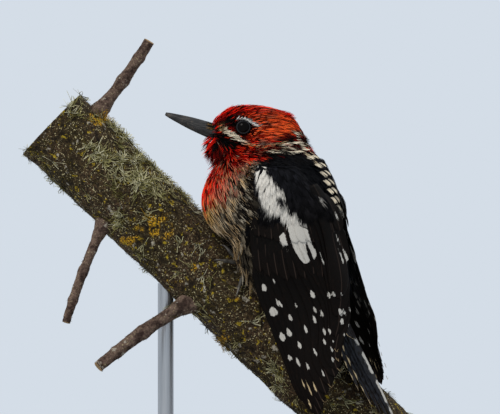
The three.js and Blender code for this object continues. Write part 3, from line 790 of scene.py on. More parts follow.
def coat_fields(points):
    """Lie, length, width and lift of the feathers that grow at points."""
    u, v = chart(points)
    normal = outward(points)
    local = points @ TRUNK.T
    flank = before_wing(local)
    throat = smooth(0, 0.35, oval(u, v, (216, 152), (20, 16)))
    nape = oval(u, v, (301, 137), (12, 20)).clip(0)
    crest = oval(u, v, (229, 108), (14, 9)).clip(0)
    collar = np.clip(1 - np.abs(local[:, 2] - 27) / 7, 0, 1) * (np.abs(local[:, 0]) > 7)
    head = smooth(16, 24, points[:, 2] + 0.1 * points[:, 0])
    face = head * smooth(-4, -16, points[:, 0]) * smooth(22, 30, points[:, 2])

    head_way = unit(unit(points - BILL_ROOT) - throat[:, None] * [0, 0, 0.9])
    outwards = np.sign(local[:, :1]) * LEFT
    trunk_way = unit(-AXIS + 0.3 * BACK * smooth(20, -10, local[:, 1:2]) + 0.12 * outwards
                     + flank[:, None] * 0.9 * BACK)
    turn = smooth(4, 24, points[:, 2] + 0.25 * points[:, 0])[:, None]
    way = unit(trunk_way * (1 - turn) + head_way * turn)

    long = 8.6 - 1.6 * smooth(-40, 0, local[:, 2]) + 2.5 * flank + 2.5 * collar
    long = long + head * (6.4 - long) - 2.2 * face + 1.6 * throat + 1.6 * nape + crest
    wide = 2.5 - 1.25 * head - 0.3 * face
    lift = 0.25 + 3.2 * flank + 2.2 * collar + 0.7 * throat + 0.3 * nape + 1.6 * crest
    skirt = smooth(0, 0.4, oval(u, v, (240, 266), (22, 30)))
    lift, long = lift + 2.2 * skirt, long + 2.5 * skirt
    for centre in EYES.values():
        away, gap = unit(points - centre), np.linalg.norm(points - centre, axis=1)
        inward = np.minimum((way * away).sum(1, keepdims=True), 0)
        way = way - inward * away * smooth(9, 5, gap)[:, None]
        near_eye = np.maximum(0.5 * gap - 1.2, 1.0)
        long = np.where(gap < 11, np.minimum(long, near_eye), long)
        lift = lift * smooth(4, 9, gap)
    return unit(way - (way * normal).sum(1, keepdims=True) * normal), long, wide, lift


def free_places(points):
    """0 where no feather can grow: at the eyes, the bill's root and on the branch."""
    free = smooth(0.4, 1.4, branch_ray(points)[1] - BRANCH_RADIUS)
    for centre in EYES.values():
        free = free * (np.linalg.norm(points - centre, axis=1) > 4.3)
    bill = np.linalg.norm((points - [-31.5, 0, 34.5])[:, 1:], axis=1)
    return free * ~((points[:, 0] < -24) & (bill < 3.2))


way, long, wide, lift = coat_fields(skin_points)
free = free_places(skin_points)
half = np.full(len(skin_points), 0.5)
# The skin takes the plumage's colours at 0.3 of their brightness: painted shade for the deep
# coat seen between the feathers. The coat's feathers are scattered in this same darkened tint.
tint = 0.3 * plumage(skin_points, skin_points, half, half, half)
store(skin, lie=way, long=long, wide=wide, lift=lift, tint=tint)

# %% Unwrap of the skin
ATLAS_SCALE = 1 / 320


def unwrap(points):
    """Places on a flat atlas of six sides of the trunk, as if the skin were cut along
    the edges of a box."""
    normal = outward(points) @ TRUNK.T
    local = points @ TRUNK.T
    side = np.abs(normal * [1, 1, 1.3]).argmax(1)
    positive = np.take_along_axis(normal, side[:, None], 1)[:, 0] > 0
    across = np.where(side == 0, local[:, 1], local[:, 0])
    up = np.where(side == 2, local[:, 1], local[:, 2])
    cell_x = (side + 0.5) / 3
    cell_y = np.where(positive, 0.75, 0.25)
    return np.stack([cell_x + across * ATLAS_SCALE, cell_y + (up + 8) * ATLAS_SCALE], 1)


def store_atlas(mesh, atlas):
    """Keeps each vertex's place on the flat atlas at all its face corners."""
    index = np.empty(len(mesh.loops), np.int32)
    mesh.loops.foreach_get("vertex_index", index)
    layer = mesh.uv_layers.new(name="OFBake")
    layer.data.foreach_set("uv", atlas[index].astype(np.float32).ravel())


# %% [markdown]
# ## One small feather
# A small feather is a fan of barbs that spring from one root and part at the tip. Each barb
# is a closed sliver with a ridge along its top: ten triangles, because more than ten
# thousand feathers follow. Head feathers have three barbs and body feathers seven.

# %% The feathers that are repeated
def small_part(name, points, faces, strands, runs):
    """A piece to be repeated. strands tells its barbs apart, and runs goes along them."""
    mesh = bpy.data.meshes.new(name)
    mesh.from_pydata([[float(c) for c in p] for p in points], [], faces)
    mesh.shade_flat()
    part = bpy.data.objects.new(name, mesh)
    store(part, blade=points, strand=strands, run=runs)
    print(name, "triangles:", sum(len(p.vertices) - 2 for p in mesh.polygons))
    return part


def fan_feather(name, barbs, barb_width, seed):
    random = np.random.default_rng(seed)
    points, faces, strands, runs = [], [], [], []
    for i in range(barbs):
        turn = 2 * i / (barbs - 1) - 1
        reach = (1 - 0.22 * turn * turn) * (0.86 + 0.14 * random.random())
        end = 0.42 * turn + 0.1 * (random.random() - 0.5)
        arch = 0.06 * random.random()
        first = len(points)
        for t, width in ((0.0, 0.7), (0.62, 1.0)):
            x, y = 0.35 * end + 0.65 * end * t**1.4, reach * t
            half = barb_width * width / 2
            points += [(x - half, y, 0), (x + half, y, 0), (x, y, 0.06 + arch)]
        points.append((end, reach, 0))
        runs += [0.0] * 3 + [0.62] * 3 + [1.0]
        a, b, tip = first, first + 3, first + 6
        faces.append((a, a + 2, a + 1))
        for j, k in ((0, 1), (1, 2), (2, 0)):
            faces += [(a + j, a + k, b + k, b + j), (b + j, b + k, tip)]
        strands += [random.random()] * 7
    return small_part(name, points, faces, strands, runs)


head_feather = fan_feather("head_feather", 3, 0.36, 3)
body_feather = fan_feather("body_feather", 7, 0.17, 4)

# %% [markdown]
# ## Scattering the coat
# Thousands of feathers could be placed by a loop, but Geometry Nodes do it faster: points
# on the skin, turned so that one axis leaves the skin and another follows the lie, and a
# feather on each, in the skin's colour at its root. The graph ends by making the copies
# real, because only real mesh is kept.

# %% The scatter graph
def scatter_graph(name, unit_piece, material, yaw):
    tree = bpy.data.node_groups.new(name, "GeometryNodeTree")
    graph = Graph(tree)
    for label, way, kind in (("Skin", "INPUT", "Geometry"), ("Density", "INPUT", "Float"),
                             ("Seed", "INPUT", "Int"), ("Coat", "OUTPUT", "Geometry")):
        tree.interface.new_socket(label, in_out=way, socket_type=f"NodeSocket{kind}")
    given = graph.node("NodeGroupInput")

    def named(attribute, kind="FLOAT"):
        return graph.node("GeometryNodeInputNamedAttribute", {"data_type": kind},
                          {"Name": attribute})["Attribute"]

    def chance(low, high, salt):
        return graph.node("FunctionNodeRandomValue", {"data_type": "FLOAT"},
                          {2: low, 3: high, "Seed": given["Seed"] + salt})[1]

    def keep(geometry, name, value, kind="FLOAT"):
        return graph.node("GeometryNodeStoreNamedAttribute",
                          {"data_type": kind, "domain": "POINT"},
                          {"Geometry": geometry, "Name": name, "Value": value})["Geometry"]

    spread = graph.node("GeometryNodeDistributePointsOnFaces", None, {
        "Mesh": given["Skin"], "Density": given["Density"] * named("free"),
        "Seed": given["Seed"]})
    upright = graph.node("FunctionNodeAlignRotationToVector", {"axis": "Z"},
                         {"Vector": spread["Normal"]})
    turned = graph.node("FunctionNodeAlignRotationToVector", {"axis": "Y", "pivot_axis": "Z"},
                        {"Rotation": upright["Rotation"],
                         "Vector": named("lie", "FLOAT_VECTOR")})
    turn = graph.node("ShaderNodeCombineXYZ", None, {"Z": chance(-yaw, yaw, 1)})
    swung = graph.node("FunctionNodeRotateRotation", {"rotation_space": "LOCAL"},
                       {"Rotation": turned["Rotation"], "Rotate By": turn["Vector"]})
    size = graph.node("ShaderNodeCombineXYZ", None, {
        "X": named("wide") * chance(0.75, 1.3, 2) * MM,
        "Y": named("long") * chance(0.75, 1.2, 3) * MM, "Z": MM})
    place = graph.node("GeometryNodeInputPosition")["Position"]
    rooted = keep(spread["Points"], "root", place, "FLOAT_VECTOR")
    copies = graph.node("GeometryNodeInstanceOnPoints", None, {
        "Points": keep(rooted, "number", chance(0.0, 1.0, 4)),
        "Instance": graph.node("GeometryNodeObjectInfo", None,
                               {"Object": unit_piece})["Geometry"],
        "Rotation": swung["Rotation"], "Scale": size["Vector"]})
    real = graph.node("GeometryNodeRealizeInstances", None, {"Geometry": copies["Instances"]})
    done = graph.node("GeometryNodeSetMaterial", None,
                      {"Geometry": real["Geometry"], "Material": material})
    graph.node("NodeGroupOutput", None, {0: done["Geometry"]})
    return tree


WORKING = ("root", "blade", "strand", "run", "number", "lie", "long", "wide", "lift", "free",
           "s", "q")
PATCH = 0.003


def clean(mesh):
    """Takes off what only steered the scattering."""
    for extra in WORKING:
        if extra in mesh.attributes:
            mesh.attributes.remove(mesh.attributes[extra])


class Growth:
    """What a scatter graph grows on a surface, with what is known at each vertex."""

    def __init__(self, surface, tree, density, seed):
        modifier = surface.modifiers.new("scatter", "NODES")
        modifier.node_group = tree
        sockets = {s.name: s.identifier for s in tree.interface.items_tree
                   if s.item_type == "SOCKET" and s.in_out == "INPUT"}
        modifier[sockets["Density"]] = density / MM**2
        modifier[sockets["Seed"]] = seed
        self.mesh = evaluated(surface)
        surface.modifiers.remove(modifier)
        self.points = places(self.mesh)
        self.root = stored(self.mesh, "root", 3) / MM - BODY_AT
        self.blade = stored(self.mesh, "blade", 3)
        self.strand, self.number, self.tip = (
            stored(self.mesh, name) for name in ("strand", "number", "run"))

    def piece(self, name, material, slot, atlas, tint=None):
        """Makes an object of the growth, at its points, with its atlas and colours. Without
        colours of its own it shows the surface's, which the graph has carried over."""
        move_to(self.mesh, self.points)
        store_atlas(self.mesh, atlas + PATCH * self.blade[:, :2])
        clean(self.mesh)
        made = add_object(name, self.mesh)
        if tint is not None:
            store(made, tint=tint)
        dress(made, material, slot)


# %% The coat's finish
def tinted(scale, darkest, rough, vary):
    """Paints a part with its own colours, under a fine grain of light and dark."""
    def paint(g):
        tone = g.noise(scale, 2.0)
        shade = g.node("ShaderNodeVectorMath", {"operation": "SCALE"},
                       {0: g.attribute("tint", "Color"),
                        "Scale": darkest + tone * (2 - 2 * darkest)})
        return {"Base Color": shade["Vector"], "Roughness": rough + vary * tone}
    return paint


coat_finish = finish("small_feathers", tinted(1400, 0.8, 0.55, 0.25), Specular_IOR_Level=0.04)
head_graph = scatter_graph("scatter_head_feathers", head_feather, coat_finish, yaw=0.2)
body_graph = scatter_graph("scatter_body_feathers", body_feather, coat_finish, yaw=0.16)

# %% Lay the coat, region by region
x, _, z = skin_points.T
_, back, along = (skin_points @ TRUNK.T).T
is_head = z > 18 + 0.1 * x
upper, lower = is_head & (z > 34), is_head & (z <= 34)
is_back = ~is_head & (back > 11)
is_front = ~is_head & ~is_back
# Each region: where, its graph, feathers for each square millimetre, seed and slot.
REGIONS = {
    "crown": (upper, head_graph, 1.7, 11, "plumage_red"),
    "face": (lower & (x < -4), head_graph, 2.6, 12, "plumage_red"),
    "nape": (lower & (x >= -4), head_graph, 1.5, 13, "plumage_red"),
    "throat": (is_front & (z > 4), body_graph, 0.36, 14, "plumage_red"),
    "breast": (is_front & (z <= 4) & (along > -22), body_graph, 0.27, 15, "plumage_mottled"),
    "belly": (is_front & (along <= -22), body_graph, 0.25, 16, "plumage_mottled"),
    "mantle": (is_back & (along > -24), body_graph, 0.3, 17, "plumage_black"),
    "rump": (is_back & (along <= -24), body_graph, 0.24, 18, "plumage_mottled"),
}


def lay_coat(name, mask, graph, density, seed, slot):
    store(skin, free=free * mask)
    coat = Growth(skin, graph, density, seed)
    lift = stored(coat.mesh, "lift")
    ruffle = 0.7 + 0.9 * grain(coat.root, 1.8, 62).clip(-0.5, 1)
    rise = (lift + (0.4 if graph is head_graph else 0.6)) * (
        0.1 + 1.1 * layer_of(coat.number)) * ruffle
    u, v = chart(coat.root)
    height = -COAT_DEPTH + (COAT_DEPTH + rise) * coat.tip**0.8 + coat.blade[:, 2]
    points = settle(coat.points, height)
    tuft = grain(coat.root, 1.7, 61).clip(-0.4, 1)
    hang = smooth(0, 0.35, oval(u, v, (211, 150), (14, 16))) * (
        0.3 + 3.4 * (tuft + 0.4) + 1.8 * pick(coat.number, 59))
    coat.points = off_branch(points + HANG * (hang * coat.tip**2)[:, None])
    coat.piece(f"coat_{name}", coat_finish, slot, unwrap(coat.root))


store_atlas(skin.data, unwrap(skin_points))
for region, settings in REGIONS.items():
    lay_coat(region, *settings)
clean(skin.data)
dress(skin, coat_finish, "plumage_mottled", "head", "neck", "torso")

# %% [markdown]
# ## Loose barbs over the coat
# Seen close, plumage isn't smooth. Single barbs part from their feathers, catch the light
# and hang over each other, and they carry the sharpest streaks. About ten thousand closed
# slivers are laid over the coat for them, in the colour of the place where they grow, some
# paler and some black. The brow, the cheek stripe and the cream bars of the back are rows
# of such slivers, and the chin and the belly's edge get bundles that draw to a point.

# %% Slivers
def outward_faces(piece):
    """Turns every face of a closed piece outwards."""
    work = bmesh.new()
    work.from_mesh(piece.data)
    bmesh.ops.recalc_face_normals(work, faces=work.faces)
    work.to_mesh(piece.data)
    work.free()
    return piece


RINGS = 5
BUNDLE_WIDTH = 0.55
ALONG_BARB = np.linspace(0, 1, RINGS)


def lying(roots, ways, lengths, tops):
    """Paths that start on the skin, follow a way and rise to a height above it."""
    paths = roots[:, None] + ways[:, None] * lengths[:, None, None] * ALONG_BARB[:, None]
    heights = 0.2 + tops[:, None] * ALONG_BARB**0.7
    return settle(paths.reshape(-1, 3), heights.ravel()).reshape(-1, RINGS, 3)


def bundles(random, centres, ways, lengths, barbs):
    """Paths of bundles of barbs, wide at the root and drawn to a point."""
    offset = random.normal(size=(len(centres), barbs, 3)) * BUNDLE_WIDTH
    reach = lengths[:, None, None] * (0.75 + 0.4 * random.random((len(centres), barbs, 1)))
    roots = centres[:, None] + offset
    ends = centres[:, None] + 0.2 * offset + ways[:, None] * reach
    t = ALONG_BARB[:, None]
    return (roots[:, :, None] * (1 - t) + ends[:, :, None] * t).reshape(-1, RINGS, 3)


class Slivers:
    """Collects three-sided barbs, each on a path of its own, into one piece."""

    def __init__(self):
        self.paths, self.thick, self.tints, self.tips = [], [], [], []

    def add(self, paths, thick, tints, tips=None):
        self.paths.append(paths)
        self.thick.append(np.full(len(paths), thick))
        self.tints.append(tints)
        self.tips.append(tints if tips is None else tips)

    def piece(self, name, slot):
        paths = np.concatenate(self.paths)
        flat = off_branch(paths.reshape(-1, 3))
        up = outward(flat).reshape(paths.shape)
        paths = flat.reshape(paths.shape)
        along = unit(np.gradient(paths, axis=1))
        side = unit(np.cross(up, along))
        high = np.cross(along, side)
        wide = (np.concatenate(self.thick)[:, None] * (1.08 - ALONG_BARB**2.5))[..., None, None]
        angle = np.radians([90, 210, 330])[:, None]
        ring = (paths[:, :, None] + np.cos(angle) * side[:, :, None] * wide
                + np.sin(angle) * high[:, :, None] * wide * 0.5)
        first = np.arange(len(paths))[:, None, None] * 3 * RINGS
        quads = (first + quads_of(RINGS, 3, wrap=True)).reshape(-1, 4)
        ends = (first + np.array([[0, 2, 1], 3 * RINGS - np.array([3, 2, 1])])).reshape(-1, 3)
        made = outward_faces(make_mesh(name, ring.reshape(-1, 3),
                                       quads.tolist() + ends.tolist(), smooth_faces=False))
        t = ALONG_BARB[:, None]
        tint, tip = (np.concatenate(some)[:, None] for some in (self.tints, self.tips))
        tint = (tint + (tip - tint) * smooth(0.6, 0.9, t)) * (0.45 + 0.55 * t)
        store(made, tint=np.repeat(tint.clip(0, 1).reshape(-1, 3), 3, axis=0))
        atlas = np.repeat(unwrap(paths[:, 0]), 3 * RINGS, axis=0)
        patch = np.stack(np.meshgrid(np.arange(3) / 3, ALONG_BARB), -1).reshape(-1, 2)
        atlas = atlas + PATCH * np.tile(patch, (len(paths), 1))
        store_atlas(made.data, atlas)
        dress(made, coat_finish, slot)


# %% Loose barbs
def swayed(random, points, sway):
    """Way, length and lift of the feathers at points, with the way turned at random."""
    way, long, _, lift = coat_fields(points)
    return unit(way + sway * random.normal(size=way.shape)), long, lift


def scattered(random, mask, count):
    """Random places on the skin where a mask holds and feathers can grow."""
    chosen = random.choice(np.flatnonzero(mask & (free > 0.5)), count)
    return settle(skin_points[chosen] + random.normal(size=(count, 3)) * 0.7, 0.2)


def loose_barbs(random, barbs, mask, count, thick, black, sway):
    """Single barbs where a mask holds. black is the share of black ones, and sway turns
    them out of the lie."""
    roots = scattered(random, mask, count)
    way, long, lift = swayed(random, roots, sway)
    number = random.random(count)
    long = long * (0.5 + 0.4 * random.random(count))
    place = roots + way * long[:, None] * 0.6
    tint = plumage(place, roots, number, number, np.ones(count))
    u, v = chart(place)
    reddish = smooth(0.1, 0.3, tint[:, 0]) * smooth(0.5, 0.3, tint[:, 1] / (tint[:, 0] + 1e-3))
    cheek = smooth(-0.2, 0.4, oval(u, v, (272, 129), (26, 11)))
    tint = blend(tint, ORANGE, reddish * (0.42 * cheek + 0.25 * (pick(number, 17) < 0.1)))
    tint = tint * (1 + 0.3 * reddish * cheek)[:, None]
    tint = tint * (1 - (1 - reddish)[:, None] * np.array([0.26, 0.33, 0.42]))
    into = bib_depth(u, v)
    rim = smooth(-22, -6, into) * smooth(12, 2, into) * smooth(214, 198, v)
    tint = blend(tint, SALMON * 0.8, 0.6 * rim * (pick(number, 29) < 0.45))
    golden = smooth(0, 0.5, oval(u, v, (209, 213), (11, 16))) * (pick(number, 37) < 0.5)
    tint = blend(tint, GOLD * 0.8, 0.8 * golden)
    # Barbs over the throat, under the bill, are up to half as bright: painted shade.
    painted_throat_shade = 1 - 0.5 * smooth(0, 0.4, oval(u, v, (228, 148), (22, 18)))
    tint = tint * (0.85 + 0.5 * random.random((count, 1))) * painted_throat_shade[:, None]
    black = black * (1 - 0.75 * cheek) * (1 - 0.5 * smooth(-10, 4, into))
    tint = blend(tint, BLACK, random.random(count) < black)
    tops = 0.15 + lift * (0.5 + 0.6 * random.random(count)) + 0.4 * random.random(count)
    barbs.add(lying(roots, way, long, tops), thick, tint)


HEAD_BARBS, BODY_BARBS = 3600, 4000
side_u, side_v = chart(skin_points)
by_wing = before_wing(skin_points @ TRUNK.T)
head_barbs, body_barbs = Slivers(), Slivers()
random = np.random.default_rng(12)
loose_barbs(random, head_barbs, is_head, HEAD_BARBS, 0.19, 0.2, 0.1)
front_side = is_front & ~((by_wing > 0.15) & (side_v > 220))
loose_barbs(random, body_barbs, front_side, BODY_BARBS, 0.21, 0.3, 0.16)

# %% Tufts of the chin, the flanks and the belly's edge
def tufts(random, barbs, mask, count, lean, long, each, thick, tones, ends=0.0):
    """Bundles that leave the coat at random places and lean a given way. ends is the
    share of bundles that have white ends."""
    centres = scattered(random, mask, count)
    ways = unit(0.5 * outward(centres) + lean)
    lengths = long * (0.7 + 0.6 * random.random(count))
    paths = bundles(random, centres, ways, lengths, each)
    kind = np.repeat(random.random(count), each)
    shade = 0.6 + 0.5 * random.random((len(paths), 1))
    tint = np.array(tones)[(kind * len(tones)).astype(int)] * shade
    barbs.add(paths, thick, tint, blend(tint, CREAM, pick(kind, 3) < ends))


off_middle = np.abs(skin_points[:, 1])
chin = (oval(side_u, side_v, (212, 148), (8, 14)) > 0) & (off_middle < 7)
tufts(random, head_barbs, chin, 44, (-0.5, 0, -0.9), 4.4, 7, 0.17,
      [RED, RED * 0.7, RED, DEEP, RED, BLACK], ends=0.25)
rear_crown = oval(side_u, side_v, (287, 114), (8, 7)) > 0
tufts(random, head_barbs, rear_crown, 16, (1.2, 0, -0.4), 3.2, 7, 0.17,
      [RED, RED * 0.6, DEEP, RED])
front_crown = oval(side_u, side_v, (227, 110), (10, 6)) > 0
tufts(random, head_barbs, front_crown, 30, (0.9, 0, 0.15), 2.6, 6, 0.15,
      [RED, RED * 0.7, DEEP, RED, BLACK])
skirt = (oval(side_u, side_v, (244, 262), (15, 28)) > 0) & ~is_back
tufts(random, body_barbs, skirt, 90, -1.4 * AXIS - [0.15, 0, 0], 6.5, 9, 0.15,
      [BUFF * 0.5, BLACK, SOOT, CREAM * 0.5, BLACK, SOOT, BLACK])
flank = (by_wing > 0.45) & ~is_back & (side_v < 218)
tufts(random, body_barbs, flank, 110, 0.8 * BACK - 0.9 * AXIS, 4.2, 7, 0.18,
      [BUFF * 0.6, BLACK, BLACK, CREAM * 0.6, BLACK, BLACK])

# %% Brow, stripe, nape and bars
NAPE_LINES = [[(294, 131), (299, 138), (303, 149)], [(267, 152.5), (281, 154)],
              [(284, 147.5), (296, 150.5)], [(286, 152), (295, 153)]]


def drawn_in(points, way, rounds, height=0.4):
    """Points moved in from outside, against a way, until they lie at a height."""
    for _ in range(rounds):
        points = points - way * 0.8 * (depth(points) - height)[:, None]
    return points


def head_side(u, v, side):
    """Points of the head's side at chart places."""
    points = np.stack([(u - CHART_MIDDLE[0]) / 2, np.full(len(u), side * 16.0),
                       (CHART_MIDDLE[1] - v) / 2], 1)
    return drawn_in(points, np.array([0, side, 0]), 14)


def pale_line(random, line, count, spread, colour_at, long, thick=0.17, black=0.15):
    """Slivers at random places along a chart line, on both sides of the head."""
    line = np.array(line, float)
    run = np.concatenate([[0], np.cumsum(np.linalg.norm(np.diff(line, axis=0), axis=1))])
    at = random.random(count) * run[-1]
    u = np.interp(at, run, line[:, 0]) + random.normal(size=count) * spread * 0.6
    narrow = 1 - 0.5 * smooth(236, 246, u) * (long < 3.1)
    v = np.interp(at, run, line[:, 1]) + random.normal(size=count) * spread * narrow
    for side in (-1, 1):
        roots = head_side(u - 2.4, v, side)
        way, _, lift = swayed(random, roots, 0.12)
        lengths = long * (0.7 + 0.6 * random.random(count))
        tints = colour_at(u) * (0.75 + 0.35 * random.random((count, 1)))
        tints = blend(tints, BLACK, random.random(count) < black)
        tops = 0.9 + 0.5 * random.random(count) + 0.7 * lift
        head_barbs.add(lying(roots, way, lengths, tops), thick, tints)


def stripe_colour(u):
    rosy = smooth(240, 250, u) * smooth(276, 264, u) * (pick(u * 7.1, 1) < 0.8)
    pale = blend(np.tile(GOLD * 0.9, (len(u), 1)), CREAM * 1.1, smooth(218, 228, u))
    pale = blend(pale, BUFF * 0.8, smooth(240, 248, u))
    return blend(pale, ORANGE, rosy * (pick(u * 3.3, 1) < 0.6))


def evenly(colour):
    return lambda u: np.tile(colour, (len(u), 1))


def back_bars(random, each=15):
    """Rows of cream slivers across the two columns of barred feathers."""
    for column in BAR_COLUMNS:
        for row in range(-5, 6):
            upward = 6.0 * smooth(2, 5, row)
            across = column + upward + random.uniform(-1.6, 1.6, each)
            level = (row + 0.5 + 0.1 * random.random(each)) * BAR_STEP
            local = np.stack([across, np.full(each, 34.0), level], 1)
            points = drawn_in(local @ TRUNK, BACK, 20)
            way, _, lift = swayed(random, points, 0.1)
            tint = CREAM * (0.7 + 0.35 * random.random((each, 1)))
            long = 2.6 + 1.2 * random.random(each)
            body_barbs.add(lying(points, way, long, 1.3 + lift), 0.26, tint)


def bristles(random, count=40):
    """Stiff barbs that grow forwards over the nostrils."""
    share = random.random(count)
    for side in (-1, 1):
        roots = np.stack([-28.0 - 1.6 * random.random(count), side * (1.6 + 2.4 * share),
                          39.6 - 3.2 * share], 1)
        ways = unit(np.stack([np.full(count, -0.94), np.full(count, side * 0.06),
                              0.3 + 0.1 * random.normal(size=count)], 1))
        reach = (2.4 + 2.0 * random.random((count, 1, 1))) * ALONG_BARB[:, None]
        paths = roots[:, None] + ways[:, None] * reach
        paths[..., 2] -= 0.4 * ALONG_BARB**2
        golden = random.random((count, 1)) < 0.3
        head_barbs.add(paths, 0.1, np.where(golden, GOLD * 0.35, BLACK))


pale_line(random, EYEBROW, 46, 0.24, evenly(CHALK * 1.3), 1.8, thick=0.11, black=0.1)
pale_line(random, CHEEK_STRIPE, 230, 1.15, stripe_colour, 3.0, black=0.26)
for line in NAPE_LINES:
    pale_line(random, line, 20, 0.6, evenly(CREAM), 3.0, thick=0.2, black=0.35)
back_bars(random)
bristles(random)
head_barbs.piece("loose_head", "plumage_red")
body_barbs.piece("loose_body", "plumage_mottled")

# %% [markdown]
# ## White marks of the wing
# The white sits on the webs of the wing's feathers. It is kept as a distance into the
# white, on the side chart of the left wing; the right wing looks up the same place on its
# own sheet. A distance stays crisp however coarse the mesh is: the finish cuts it at zero.

# %% White marks of the wing
SHOULDER_PATCH = [
    (256, 162.5), (258.5, 168), (263, 167), (265, 166.5), (267, 172), (267, 179), (270, 178),
    (272.5, 181), (274, 186), (280, 190), (284, 196), (286.5, 200.5), (284, 202), (281, 197),
    (276, 196), (276, 201), (279.5, 206), (281, 210), (284, 209), (286.5, 206), (287.5, 213),
    (291.5, 217), (296, 216), (298.5, 222), (300, 226.5), (307, 229), (309.5, 238),
    (312, 245), (316, 251), (316, 255), (313.5, 260), (311, 254), (308, 246), (305.5, 238),
    (305, 244), (307, 254), (310, 261), (305, 263.5), (300, 260), (294, 250), (290.5, 241),
    (288.5, 233), (286.5, 224), (280, 220), (276, 216), (270, 214), (265, 210), (260.5, 199),
    (257, 187), (255.5, 178), (254.5, 171)]
OUTER_CHIP = [(279, 236), (284.5, 231), (285.5, 238), (288, 245), (283, 246), (280, 242)]
# Chips on the webs: chart place, half width and half length along the feather.
WEB_CHIPS = [
    (264, 287, 2.4, 4), (273.5, 281, 1.4, 2.8), (280.5, 292, 1, 1), (277, 302, 1.3, 4),
    (280.5, 304, 1.3, 3.6), (273, 311, 4, 5), (290, 317, 1.9, 3.6), (295.5, 304, 1.2, 3),
    (282, 336, 3, 4.6), (288.5, 331.5, 2.4, 4.8), (299, 344, 1.8, 4.2), (305.5, 329, 1.6, 4.4),
    (312, 294, 2.3, 4.2), (314, 309, 1.5, 4), (314, 318.5, 1.6, 4.4), (321, 312.5, 1.5, 4),
    (328, 293.5, 1.7, 3.6), (332.5, 293, 1.5, 3.4), (340, 293, 0.8, 2.2), (289.5, 357, 2.1, 3.6),
    (297.5, 361, 1.4, 5.5), (307, 365, 1.3, 4), (322, 372, 1, 3.6), (323.5, 330, 1.2, 4),
    (329, 329.5, 1.1, 3.8), (323.5, 340, 1.2, 3.4), (333, 340.5, 1, 2.4), (314.5, 350.5, 1.2, 4),
    (331, 348.5, 1, 3), (332, 358.5, 1.1, 3), (340, 311.5, 2, 4.2), (344, 311.5, 1.3, 3.6),
    (349.5, 309, 1, 3.6), (349.5, 327, 1.9, 3.8), (358, 326, 1.3, 4.6), (357, 338.5, 1.3, 2.4),
    (354, 315, 1, 4), (341.5, 321, 2, 3), (343.5, 334, 0.9, 2.2), (322, 202, 0.8, 4),
    (336, 215, 1, 5), (337, 238, 0.8, 6), (340.5, 256, 1, 8), (346, 257, 1.5, 10),
    (321, 258, 0.6, 8), (347, 227, 1.3, 5)]
CHIP_LEAN = np.radians(20)
MARK_HEIGHT = 1.5
BUFF_STREAKS = [(303, 383, 0.7, 6), (308, 386, 0.8, 9), (314, 386, 0.8, 6), (309, 403, 0.9, 7)]


def chips(u, v, rows):
    best = np.full(len(u), -9.0)
    for x, y, half_width, half_length in rows:
        du, dv = u - x, v - y
        across = du * np.cos(CHIP_LEAN) - dv * np.sin(CHIP_LEAN)
        down = du * np.sin(CHIP_LEAN) + dv * np.cos(CHIP_LEAN)
        taper = half_width * (1 + 0.35 * np.clip(down / half_length, -1, 1))
        radial = np.hypot(across / taper, down / half_length)
        best = np.maximum(best, (1 - radial) * np.minimum(half_width, 2.5))
    return best


def wing_marks(s, q):
    """Depth into the white in chart units, and into buff, alike on both wings."""
    u, v = on_chart(wing_sheet("left", s, q, MARK_HEIGHT))
    white = np.maximum(inside(u, v, SHOULDER_PATCH), inside(u, v, OUTER_CHIP))
    return np.maximum(white, chips(u, v, WEB_CHIPS)), chips(u, v, BUFF_STREAKS)


# %% [markdown]
# ## Long feathers
# Flight feathers, coverts and tail feathers are big enough to be vanes of their own: a
# grid of points on top and the same below, sewn along its rim. A vane's outline narrows
# to the quill and rounds off at the tip, and a shaft runs down its middle.

# %% Building vanes
def outline_blunt(t, tip=0.26):
    """Width along a vane that rounds off over the tip's share of its length."""
    rounded = np.clip(1 - (np.maximum(0, t - (1 - tip)) / tip) ** 2.2, 0, 1)
    return np.minimum(1, 0.45 + 2.4 * t) * np.sqrt(rounded)


def outline_pointed(t):
    return np.minimum(1, 0.55 + 1.8 * t) * (1 - np.maximum(0, (t - 0.5) / 0.5) ** 1.9)


def sewn_grid(rows, columns):
    """Faces of a top grid, the same grid below it, and the rim between them."""
    n = rows * columns
    grid = quads_of(rows, columns)
    rim = np.concatenate([np.arange(columns), np.arange(1, rows) * columns + columns - 1,
                          (rows - 1) * columns + np.arange(columns - 2, -1, -1),
                          np.arange(rows - 2, 0, -1) * columns])
    after = np.roll(rim, -1)
    sewn = np.stack([rim, rim + n, after + n, after], 1)
    return np.vstack([grid, grid[:, ::-1] + n, sewn])


